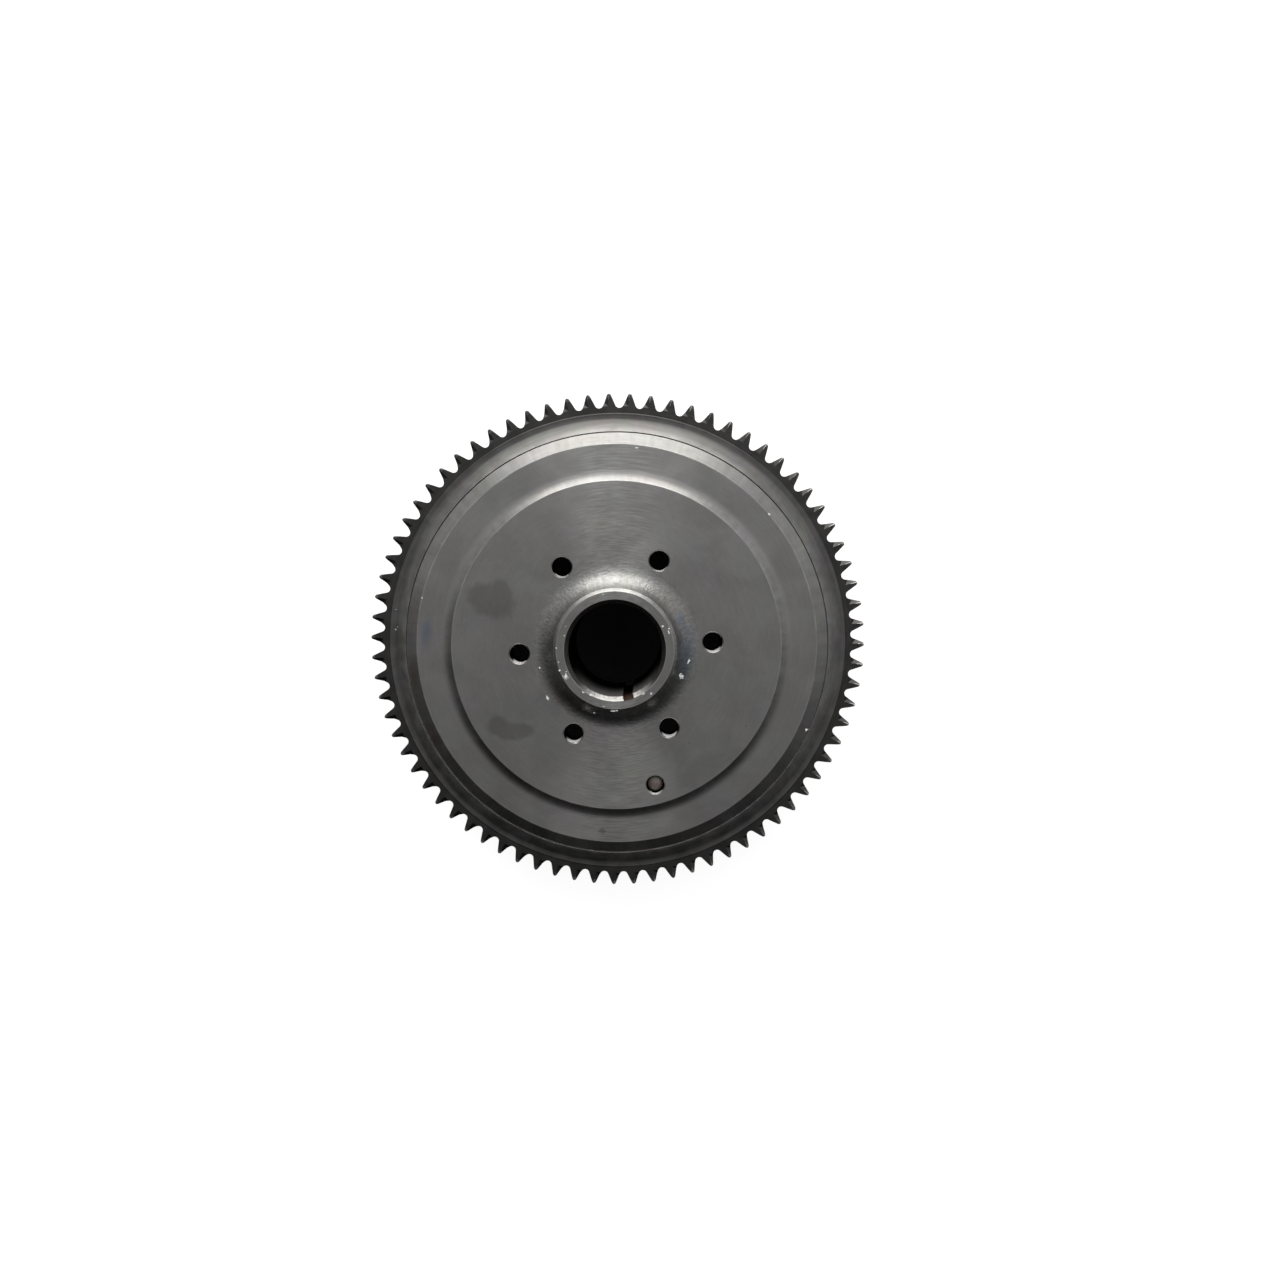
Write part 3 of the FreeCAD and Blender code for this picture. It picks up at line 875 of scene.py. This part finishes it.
def blemish_group():
    """One mark at a place: a smudge, stain, chip or dried splash, with its own size and raggedness."""
    group, given, result = new_group("blemish", {
        "Centre": (VECTOR, (0, 0, 0)), "Outward": (VECTOR, (1, 0, 0)), "Across": (FLOAT, 1.0),
        "Round": (FLOAT, 1.0), "Soft": (FLOAT, 0.3), "Ragged": (FLOAT, 0.3), "Grain": (FLOAT, 900.0)},
        {"Mask": FLOAT})
    point = object_point(group)
    gap = scaled(vector_calc("SUBTRACT", point, given["Centre"]), 1000.0)
    outward = dot(gap, given["Outward"])
    rest = vector_calc("SUBTRACT", gap, scaled(given["Outward"], outward))
    first = outward / given["Across"]
    second = length(vector_calc("MULTIPLY", rest, (1.0, 1.0, 0.6))) / given["Round"]
    rag = (noise(point, given["Grain"], 3.0) - 0.5) * given["Ragged"] * 2.0
    size = calc("SQRT", first * first + second * second)
    fill(result["Mask"], steps(size + rag, 1.0, 1.0 - given["Soft"]))
    return group


def specks_group():
    """Small pits and dried specks, here and there."""
    group, given, result = new_group("specks", {"Spacing": (FLOAT, 9.0), "Size": (FLOAT, 0.35)},
                                     {"Mask": FLOAT})
    point = object_point(group)
    cells = add(group, "ShaderNodeTexVoronoi", {"Vector": point, "Scale": 1000.0 / given["Spacing"],
                                                "Randomness": 1.0}).outputs
    share = parts_of(Field(group, cells["Color"]))[0]
    ragged = Field(group, cells["Distance"]) * given["Spacing"] + noise(point, 2500.0, 2.0) * 0.25
    spot = steps(ragged, given["Size"], given["Size"] * 1.5, 1.0, 0.0)
    fill(result["Mask"], spot * steps(share, 0.62, 0.66))
    return group


lathe_marks = lathe_marks_group()
mottle = mottle_group()
edge_wear = edge_wear_group()
blemish = blemish_group()
specks = specks_group()


def all_marks(tree, places, soft_edge, ragged, grain):
    """Mask of a list of marks. Each gives its angle in degrees, then its radius, height and half sizes outwards
    and round the axis in millimetres, and may give how far it leans from the radial direction in degrees."""
    masks = []
    for angle, radius, height, across, round_way, *lean in places:
        turn, line = math.radians(angle), math.radians(angle + sum(lean))
        masks.append(use_group(
            tree, blemish, Centre=(radius * MM * math.cos(turn), radius * MM * math.sin(turn), height * MM),
            Outward=(math.cos(line), math.sin(line), 0), Across=across, Round=round_way, Soft=soft_edge,
            Ragged=ragged, Grain=grain)["Mask"])
    return most(*masks)


def wear_at(tree, radius, height, width):
    return use_group(tree, edge_wear, Radius=radius / MM, Height=height / MM, Width=width)["Mask"]


def new_finish(name):
    """An empty material with its surface shader. Returns the material, its tree and the shader."""
    finish = bpy.data.materials.new(name)
    finish.use_nodes = True
    return finish, finish.node_tree, finish.node_tree.nodes["Principled BSDF"]


def finish_with(shader, colour, rough, relief, depth, metallic=1.0):
    """Link colour, roughness and relief to the surface shader. depth is the relief's in millimetres."""
    fill(shader.inputs["Base Color"], colour)
    fill(shader.inputs["Roughness"], rough)
    fill(shader.inputs["Metallic"], metallic)
    fill(shader.inputs["Normal"], field("ShaderNodeBump", {"Height": relief, "Distance": depth * MM,
                                                           "Strength": 1.0}, "Normal"))


def shine(shader, mask, strength):
    """Make what the mask covers glow a little: a painted highlight on metal, or the pale board's even glow."""
    fill(shader.inputs["Emission Color"], blend(mask, grey(0), grey(1)))
    shader.inputs["Emission Strength"].default_value = strength


# ---------------------------------------------------------------- finishes
SMUDGES = [(155.4, 51.6, 46.3, 11.5, 8.6), (152, 49, 46.3, 7.0, 7.5), (215.5, 52.0, 46.3, 10.5, 4.2, -38),
           (210, 55.5, 46.3, 5.0, 5.5)]
# Brown tints on the left of the chamfer and hub cove, and blue tints, mostly on the hub cove.
BROWN_TINTS = [(184, 80.2, 43.5, 3.0, 11), (203, 80.2, 43.5, 3.2, 9), (222, 28.0, 47.2, 5.0, 9.0)]
BLUE = [(350, 27.0, 47.8, 5.0, 16.0), (172, 74, 44.6, 3.0, 9.0), (20, 27, 47.8, 3.0, 5.0)]
CHIPS_AND_GLINTS = [
    (204.3, 21.0, 56.2, 0.95, 1.15), (23.6, 20.1, 56.2, 0.35, 0.4), (15.3, 21.4, 56.2, 0.3, 0.9),
    (264.5, 23.2, 55.6, 0.8, 1.1), (268, 23.0, 55.7, 0.4, 0.5), (80.3, 76.7, 44.6, 0.3, 0.75),
    (37.6, 77.9, 44.6, 0.4, 0.5), (162.1, 77.7, 44.6, 0.3, 0.35), (332.8, 81.6, 43.0, 0.8, 0.7),
    (174, 22.0, 56.2, 0.25, 0.25), (18.5, 21.9, 56.2, 0.3, 0.3), (160, 19.8, 56.2, 0.2, 0.25),
    (200, 19.9, 56.2, 0.2, 0.3), (196, 22.1, 56.0, 0.4, 0.4), (351, 23.6, 54.5, 0.35, 0.35),
    (229, 19.8, 56.2, 0.3, 0.5), (300, 19.6, 56.2, 0.25, 0.5), (255, 21.6, 56.2, 0.2, 0.3),
    (188, 21.6, 56.2, 0.25, 0.3), (191, 30.6, 46.6, 0.3, 0.4), (213, 33.0, 46.3, 0.5, 0.9),
    (248, 26.6, 48.0, 0.4, 0.8), (333.5, 27.6, 47.5, 1.2, 0.9), (346.1, 28.7, 47.1, 0.5, 0.9),
    (306, 21.2, 56.2, 0.3, 0.7), (238, 19.0, 56.0, 0.5, 0.8), (150, 20.6, 56.2, 0.2, 0.2),
    (98, 21.5, 56.2, 0.25, 0.25),
]
DARK_SPECKS = [(325.4, 59.1, 46.3, 0.5, 0.5), (262, 73.5, 44.6, 1.6, 1.8), (304, 47, 46.3, 0.4, 0.6)]
SPLASHES = [(167.2, 88.6, 38.3, 0.35, 0.35), (171.5, 87.2, 38.9, 0.3, 0.4), (172.3, 88.0, 38.5, 0.6, 0.5)]


def turned_steel():
    """Oiled, fine-turned steel: turning lines, slow oxide mottle, smudges, stains and bright chips. Painted
    light: flats and turning lines painted brighter along the window axis, a glow on the chips, and painted
    shade in the bore's mouth.
    """
    finish, tree, shader = new_finish("turned_steel_oiled")
    point = object_point(tree)
    radius, height, way = round_axis(point)
    marks = use_group(tree, lathe_marks, Pitch=0.45, Breaks=7.0)
    patches = use_group(tree, mottle, Size=15.0, Tint=0.1)
    chips = use_group(tree, specks, Spacing=9.0, Size=0.25)
    level = parts_of(facing(tree))[2]
    flat = steps(level, 0.975, 0.995)

    # Painted highlight: flats near the window axis are painted brighter, and the turning lines there get more
    # contrast, as a painted sheen of the window.
    painted_window_light = steps(calc("ABSOLUTE", dot(way, AHEAD)), 0.86, 1.0) * flat
    painted_line_sheen = steps(calc("ABSOLUTE", dot(point, ASIDE)), 20 * MM, 6 * MM) * flat
    lines = ramp(marks["Tone"], 0.0, 1.0, -0.14, 0.16)
    base = blend(patches["Mask"], grey(0.455, 0.02), grey(0.515, 0.015))
    base = vector_calc("MULTIPLY", base, patches["Colour"])
    base = scaled(base, 1.0 + painted_window_light * 0.24 + lines * (0.22 + painted_line_sheen * 0.95))
    base = blend(all_marks(tree, SMUDGES, 0.45, 0.3, 220.0) * 0.52, base, grey(0.24, 0.05))
    base = blend(all_marks(tree, BROWN_TINTS, 0.9, 0.35, 250.0) * 0.5, base, (0.30, 0.215, 0.16, 1))
    base = blend(all_marks(tree, BLUE, 0.9, 0.35, 250.0) * 0.75, base, (0.31, 0.36, 0.45, 1))
    base = blend(all_marks(tree, DARK_SPECKS, 0.6, 0.5, 900.0) * 0.5, base, grey(0.2, 0.08))

    rubbed = most(*[wear_at(tree, *edge) for edge in [
        (hub_face_radius, hub_height, 0.45), (mouth_radius, hub_height, 0.4),
        (hub_radius, hub_height - hub_chamfer, 0.4), (disc_radius, disc_height, 0.35),
        (annulus_radius, annulus_height, 0.4), (skirt_radius, 0, 0.8)]])
    # Bright chips at these places; their near-white colour and glow are partly a painted highlight.
    nicks_and_glints = all_marks(tree, CHIPS_AND_GLINTS, 0.4, 1.5, 1300.0)
    base = blend(most(rubbed * 0.45, nicks_and_glints), base, grey(0.97, 0.01))

    # Painted shade: the bore's mouth chamfer is painted dark all round except on the -Y side, whose slope faces
    # the window and stays light.
    mouth = (steps(radius, mouth_radius - 0.02 * MM, mouth_radius - 0.12 * MM)
             * steps(height, boss_end + MM, boss_end + 2 * MM) * steps(dot(way, NEAR_SIDE), 0.9, 0.6))
    base = blend(mouth * 0.85, base, grey(0.05, 0.02))
    # Painted shade: a thin dark line where the mouth's chamfer turns into the bore.
    base = blend(wear_at(tree, bore_radius, hub_height - mouth_depth, 0.35), base, grey(0.03))

    grains = noise(point, 1100.0, 3.0, 0.6)
    hub_zone = (steps(radius, 36 * MM, 28 * MM)
                * steps(height, hub_height - 0.4 * MM, hub_height - 0.8 * MM))
    granular = ramp(noise(point, 620.0, 3.0, 0.7), 0.34, 0.66, -0.26, 0.26)
    radial = noise(scaled(way, 22.0), 1.0, 3.0, 0.7)
    stained = ramp(radial * 0.6 + noise(point, 330.0, 3.0, 0.6) * 0.4, 0.36, 0.64, -0.12, 0.1)
    base = scaled(base, 1.0 + granular * (hub_zone * 0.5 + 0.1) + stained * steps(level, 0.99, 0.93))

    relief = (marks["Height"] - chips["Mask"] + nicks_and_glints * grains * 6.0 + (0.2 + hub_zone * 7.0) * grains)
    finish_with(shader, base, 0.3 + patches["Mask"] * 0.05 + nicks_and_glints * 0.65, relief, 0.022, 1.0 - nicks_and_glints)
    # Painted highlight: the chips glow a little.
    shine(shader, nicks_and_glints, 0.3)
    shader.inputs["Anisotropic"].default_value = 0.6
    shader.inputs["Anisotropic Rotation"].default_value = 0.25
    return finish


def bored_steel():
    """The walls of the bore, key slot and holes: dull, and painted near black as shade, with painted light
    where daylight reaches in and a painted highlight on the holes' lips.
    """
    finish, tree, shader = new_finish("bored_steel_dull")
    point = object_point(tree)
    radius, height, way = round_axis(point)
    grains = noise(point, 700.0, 4.0, 0.7)
    marks = use_group(tree, lathe_marks, Pitch=0.5, Breaks=6.0)
    # Painted shade: the walls are near black; near the mouth, on the -Y side that daylight reaches, they are
    # painted lighter as painted light.
    shade_black = grey(0.004)
    near_side = dot(way, NEAR_SIDE)
    near_mouth = steps(height, hub_height - 26 * MM, hub_height - 4 * MM)
    base = blend(steps(near_side, 0.3, 0.95) * near_mouth, shade_black, grey(0.16, 0.02))
    base = scaled(base, ramp(marks["Tone"], 0.0, 1.0, 0.88, 1.08))

    in_hole = steps(radius, boss_radius, boss_radius + MM)
    bright_depth = ramp(radius, 50 * MM, 52 * MM, 5.5 * MM, 1.3 * MM)
    # Painted highlight: a white lip, glowing a little, on the hole walls that face the window, near the top.
    painted_lip_highlight = (in_hole * steps(parts_of(facing(tree))[1], 0.5, 0.9)
           * steps((disc_height - height) / bright_depth, 1.0, 0.7))
    base = blend(in_hole, base, blend(painted_lip_highlight, shade_black, grey(0.95)))
    shine(shader, painted_lip_highlight, 0.22)

    off_line = calc("ABSOLUTE", dot(point, (-math.sin(key_line), math.cos(key_line), 0.0)))
    slot = (steps(off_line, key_half_width + 0.1 * MM, key_half_width + 0.03 * MM)
            * steps(near_side, 0.5, 0.6) * steps(in_hole, 1.0, 0.0)
            * steps(radius, bore_radius - 0.2 * MM, bore_radius - 0.15 * MM))
    # Rust in the key slot, painted darker with depth as painted shade.
    rust_and_depth_shade = blend(grains, (0.07, 0.042, 0.034, 1), (0.2, 0.125, 0.1, 1))
    rust_and_depth_shade = scaled(rust_and_depth_shade, steps(height, hub_height - 22 * MM, hub_height - 6 * MM, 0.03, 1.0))
    base = blend(slot, base, rust_and_depth_shade)
    finish_with(shader, base, steps(grains, 0.3, 0.7, 0.75, 0.95), grains + marks["Height"], 0.03, 0.0)
    shader.inputs["Specular IOR Level"].default_value = 0.0
    return finish


def gear_steel():
    """Dark heat-treated steel. The collar was turned bright and darkens to the teeth; the tips are worn. The
    collar carries painted light by side and a painted highlight by the seam towards the window, and the ridges
    a painted glint.
    """
    finish, tree, shader = new_finish("gear_steel_blackened")
    point = object_point(tree)
    radius, way = round_axis(point)[::2]
    marks = use_group(tree, lathe_marks, Pitch=0.8, Breaks=5.0)
    patches = use_group(tree, mottle, Size=6.0, Tint=0.12)
    grains = noise(point, 1300.0, 3.0, 0.65)

    inward = ramp(radius, land_inner, seam_radius)
    toothed = steps(radius, land_outer, land_foot)
    base = blend(toothed, grey(0.19, 0.02), grey(0.1, 0.02))
    base = blend(inward, base, grey(0.44, 0.015))
    base = scaled(base, ramp(patches["Mask"], 0.0, 1.0, 0.88, 1.12))
    base = scaled(base, ramp(marks["Tone"], 0.0, 1.0, 0.93, 1.07))
    base = vector_calc("MULTIPLY", base, patches["Colour"])
    # Painted light by side: the collar is painted darker on the window side and lighter away from it, with a
    # painted highlight by the seam towards the window.
    ahead = dot(way, AHEAD)
    painted_light_by_side = (ramp(ahead, 0.75, -0.4, 0.86, 1.36)
               + steps(ahead, 0.7, 1.0) * steps(radius, seam_radius + 3 * MM, seam_radius) * 0.5)
    base = scaled(base, painted_light_by_side + toothed * (1.0 - painted_light_by_side))

    x, y = parts_of(point)[:2]
    pitches = (calc("ARCTAN2", y, x) - tooth_shift) / pitch_angle
    from_middle = (pitches - calc("ROUND", pitches)) * pitch_angle * radius
    normal = facing(tree)
    level = parts_of(normal)[2]
    facet = (steps(level, 0.5, 0.6) * steps(level, 0.97, 0.92)
             * steps(radius, root_radius, root_radius + 0.5 * MM))
    leading = facet * steps(from_middle, 0.0, 0.1 * MM)
    trailing = facet * steps(from_middle, 0.1 * MM, 0.0)
    foot = facet * steps(dot(normal, way), 0.3, 0.5) * steps(radius, 96.6 * MM, 96 * MM)
    base = blend(leading, base, grey(0.13, 0.02))
    base = blend(foot, base, grey(0.09))
    worn = steps(radius, 94.6 * MM, 96.4 * MM) * steps(grains, 0.36, 0.6, 0.35, 1.0)
    tip = steps(radius, 95.8 * MM, 97.2 * MM) * steps(grains, 0.42, 0.62, 0.1, 0.8) * steps(level, 0.4, 0.6)
    bare = most(trailing * worn, tip)
    base = blend(bare * 0.8, base, grey(0.4, 0.02))
    # Painted highlight: a white strip along each ridge near the tip, glowing on the right-hand teeth.
    ridge = (facet * steps(radius, 94.8 * MM, 95.8 * MM) * steps(from_middle, -0.45 * MM, -0.3 * MM)
             * steps(from_middle, 0.35 * MM, 0.2 * MM) * steps(noise(point, 500.0, 2.0), 0.36, 0.5))
    base = blend(ridge, base, grey(0.95))
    shine(shader, ridge * steps(dot(way, (0.9, 0.436, 0.0)), 0.3, 0.8), 0.5)
    splash = all_marks(tree, SPLASHES, 0.5, 0.8, 1500.0)
    base = blend(splash, base, grey(0.9))

    rough = 0.42 + patches["Mask"] * 0.08 + bare * 0.2 + inward * 0.04
    relief = marks["Height"] + grains * 0.5 + splash * 4.0
    finish_with(shader, base, rough, relief, 0.02, 1.0 - most(bare * 0.55, inward * 0.09))
    return finish


def pin_steel():
    """A hardened pin gone brown, with a painted highlight on its crown, its sides painted near black as shade
    in the pocket, and small pits.
    """
    finish, tree, shader = new_finish("pin_steel_browned")
    point = object_point(tree)
    patches = use_group(tree, mottle, Size=2.2, Tint=0.3)
    pits = use_group(tree, specks, Spacing=1.4, Size=0.15)["Mask"]
    base = blend(patches["Mask"], (0.27, 0.225, 0.19, 1), (0.38, 0.335, 0.29, 1))
    base = vector_calc("MULTIPLY", base, patches["Colour"])
    centre = (pin_circle * math.cos(key_line), pin_circle * math.sin(key_line), 0.0)
    off_centre = length(vector_calc("MULTIPLY", vector_calc("SUBTRACT", point, centre), (1.0, 1.0, 0.0)))
    # Painted highlight: the crown is painted lighter at its middle.
    base = scaled(base, steps(off_centre, 0.3 * pin_radius, pin_radius, 1.45, 0.75))
    # Painted shade: the sides below the crown are painted near black.
    base = blend(steps(parts_of(point)[2], pin_top - 0.75 * MM, pin_top - 1.1 * MM), base, grey(0.012))
    base = blend(pits, base, (0.05, 0.035, 0.03, 1))
    grains = noise(point, 1500.0, 3.0)
    finish_with(shader, base, steps(grains, 0.3, 0.7, 0.4, 0.52), grains - pits, 0.03, 0.7)
    return finish


def ferrite():
    """Charcoal sintered magnet: a fine grain, ground faces with lines along Z, pale chipped spots."""
    finish, tree, shader = new_finish("ferrite_ground")
    point = object_point(tree)
    grains = noise(point, 1800.0, 4.0, 0.65)
    lines = noise(vector_calc("MULTIPLY", point, (1400.0, 1400.0, 40.0)), 1.0, 2.0)
    patches = use_group(tree, mottle, Size=9.0, Tint=0.1)
    chips = use_group(tree, specks, Spacing=5.0, Size=0.35)["Mask"]
    base = blend(patches["Mask"], grey(0.035, -0.04), grey(0.055, -0.02))
    base = scaled(base, ramp(lines, 0.3, 0.7, 0.85, 1.15))
    base = blend(chips, base, grey(0.12, -0.03))
    relief = grains * 0.5 + lines * 0.6 - chips * 2.0
    finish_with(shader, base, steps(grains, 0.3, 0.7, 0.42, 0.6), relief, 0.03, 0.15)
    return finish


def cage_plastic():
    """Black glass-filled nylon: a fine moulded texture, flow streaks and a dusty bloom."""
    finish, tree, shader = new_finish("nylon_black")
    point = object_point(tree)
    grains = noise(point, 2600.0, 2.0)
    flow = noise(vector_calc("MULTIPLY", point, (90.0, 90.0, 420.0)), 1.0, 3.0, 0.5, 0.8)
    bloom = use_group(tree, mottle, Size=7.0, Tint=0.05)["Mask"]
    base = blend(steps(flow, 0.35, 0.7), grey(0.018), grey(0.032, 0.02))
    base = blend(bloom * 0.25, base, grey(0.09, 0.03))
    finish_with(shader, base, 0.42 + bloom * 0.2, grains + flow * 0.6, 0.03, 0.0)
    return finish


def sleeve_steel():
    """Bright drawn stainless: long draw lines, faint smears and a rubbed flange edge."""
    finish, tree, shader = new_finish("stainless_drawn")
    point = object_point(tree)
    draw_lines = noise(vector_calc("MULTIPLY", point, (1600.0, 1600.0, 30.0)), 1.0, 3.0, 0.6)
    smears = use_group(tree, mottle, Size=11.0, Tint=0.06)["Mask"]
    base = blend(smears, grey(0.5, 0.02), grey(0.58, 0.015))
    base = scaled(base, ramp(draw_lines, 0.3, 0.7, 0.9, 1.08))
    base = blend(wear_at(tree, sleeve_flange, sleeve_low.z, 0.5), base, grey(0.75, 0.01))
    finish_with(shader, base, 0.24 + smears * 0.1, draw_lines, 0.015)
    return finish


def spring_steel():
    """Oil-tempered spring steel: blue-brown oxide bands along the wire, with rubbed corners."""
    finish, tree, shader = new_finish("spring_steel_tempered")
    point = object_point(tree)
    bands = noise(scaled(round_axis(point)[2], 5.0), 1.0, 2.0)
    patches = use_group(tree, mottle, Size=5.0, Tint=0.15)
    rubbed = most(*[wear_at(tree, clip_inner, height, 0.4) for height in (clip_low.z, clip_high.z)])
    base = blend(steps(bands, 0.35, 0.65), (0.16, 0.13, 0.11, 1), (0.12, 0.14, 0.19, 1))
    base = vector_calc("MULTIPLY", base, patches["Colour"])
    base = blend(rubbed, base, grey(0.5, 0.01))
    finish_with(shader, base, steps(patches["Mask"], 0.0, 1.0, 0.34, 0.48), noise(point, 1500.0, 3.0), 0.02)
    return finish


def lug_steel():
    """Mild steel lug: milled faces, heat tint along the joint with the skirt, a little surface rust."""
    finish, tree, shader = new_finish("lug_steel_milled")
    point = object_point(tree)
    milled = noise(vector_calc("MULTIPLY", point, (300.0, 300.0, 1500.0)), 1.0, 3.0, 0.6)
    patches = use_group(tree, mottle, Size=4.0, Tint=0.2)["Mask"]
    from_skirt = round_axis(point)[0] + noise(point, 250.0, 2.0) * MM - skirt_radius
    base = blend(patches, grey(0.3, 0.02), grey(0.37, 0.02))
    base = scaled(base, ramp(milled, 0.3, 0.7, 0.88, 1.1))
    base = blend(steps(from_skirt, 2.2 * MM, 1.2 * MM), base, (0.17, 0.13, 0.16, 1))
    base = blend(steps(from_skirt, 1.1 * MM, 0.6 * MM), base, (0.07, 0.08, 0.12, 1))
    rust = steps(noise(point, 420.0, 4.0, 0.7), 0.56, 0.68) * 0.6
    base = blend(rust, base, (0.16, 0.075, 0.04, 1))
    finish_with(shader, base, 0.4 + rust * 0.4, milled + rust, 0.03, 1.0 - rust)
    return finish


def plain_floor():
    """A pale board that glows a little, so that shadows stay faint, and painted near black as shadow where the
    cup covers it.
    """
    finish, tree, shader = new_finish("pale_board")
    point = object_point(tree)
    # Painted shadow: the board is near black under the cup; outside it, it is pale and glows evenly.
    outside_painted_shadow = steps(round_axis(point)[0], 60 * MM, 70 * MM)
    pale = blend(noise(point, 60.0, 3.0), grey(0.86), grey(0.88))
    fill(shader.inputs["Base Color"], blend(outside_painted_shadow, grey(0.02), pale))
    shine(shader, outside_painted_shadow, 0.84)
    shader.inputs["Roughness"].default_value = 0.9
    shader.inputs["Specular IOR Level"].default_value = 0.1
    return finish


# ---------------------------------------------------------------- put together
def make_floor():
    deselect()
    bpy.ops.mesh.primitive_plane_add(size=12, location=(0, 0, -0.05 * MM))
    floor = bpy.context.object
    floor.name = "floor"
    bpy.ops.object.transform_apply(location=True, rotation=True, scale=True)
    floor.data.materials.append(plain_floor())
    floor.visible_glossy = False


def make_sky():
    """A dim room, dark towards -Y, with a tall bright window towards +Y. The camera sees a pale backdrop."""
    world = bpy.data.worlds.new("room")
    bpy.context.scene.world = world
    world.use_nodes = True
    tree = world.node_tree
    backdrop = tree.nodes["Background"]
    way = Field(tree, tree.nodes.new("ShaderNodeTexCoord").outputs["Generated"])
    side, ahead = parts_of(way)[:2]
    lean = calc("SQRT", side * side + ahead * ahead)
    dark = steps(ahead, -0.8, 0.08, 0.012, 0.225)
    lift = ramp(ahead, 0.0, 0.75, 0.0, 0.26)
    right = ramp(side, -0.9, 0.9, 0.78, 1.12)
    ring = 1.0 + steps(lean, 0.1, 0.32) * steps(lean, 0.8, 0.45) * 0.4
    corner = steps(dot(way, (-0.7, -0.7, 0.0)), 0.32, 0.8, 1.0, 0.35)
    room = scaled((1.0, 1.0, 1.0), (dark + lift) * right * ring * corner)
    pane = steps(calc("ABSOLUTE", side), 0.3, 0.66, 1.0, 0.0) * steps(ahead, 0.54, 0.88)
    light = vector_calc("ADD", room, scaled((1.78, 1.74, 1.66), pane))
    seen = Field(tree, tree.nodes.new("ShaderNodeLightPath").outputs["Is Camera Ray"])
    fill(backdrop.inputs["Color"], blend(seen, light, (0.85, 0.86, 0.87, 1)))
    backdrop.inputs["Strength"].default_value = 1.0


def shade_painted_walls(shell, finish):
    """Give the walls of the bore, key slot and holes, and the end of the pin's pocket, their own finish,
    painted dark as shade.
    """
    shell.data.materials.append(finish)
    for face in shell.data.polygons:
        spot = face.center
        radius = math.hypot(spot.x, spot.y)
        upright = abs(face.normal.z) < 0.5
        bored = upright and radius < key_reach + 0.2 * MM
        drilled = (upright and boss_radius + MM < radius < disc_radius - MM
                   and ceiling_height < spot.z < disc_height)
        pocket_end = abs(spot.z - pocket_floor) < 0.1 * MM and radius > boss_radius
        face.material_index = int(bored or drilled or pocket_end)


def build():
    make_camera()
    make_floor()
    make_sky()
    bpy.context.scene.view_settings.view_transform = "Standard"
    shell = make_shell()
    place(shell, "turned_steel", turned_steel(), "rotor_shell")
    shade_painted_walls(shell, bored_steel())
    place(make_ring_gear(), "gear_steel", gear_steel(), "ring_gear")
    place(make_pin(), "pin_steel", pin_steel(), "locating_pin")
    magnet_finish = ferrite()
    for number, magnet in enumerate(make_magnets()):
        place(magnet, "ferrite", magnet_finish, "magnet_%02d" % (number + 1))
    place(make_cage(), "cage_plastic", cage_plastic(), "magnet_cage")
    place(make_sleeve(), "sleeve_steel", sleeve_steel(), "magnet_sleeve")
    place(make_clip(), "spring_steel", spring_steel(), "retaining_ring")
    lug_finish = lug_steel()
    for name, line, span in (("long", lug_line, long_lug), ("short", lug_line + 180, short_lug)):
        place(make_lug("lug_%s_milled" % name, line, span), "gear_steel", lug_finish, "trigger_lug_" + name)


build()
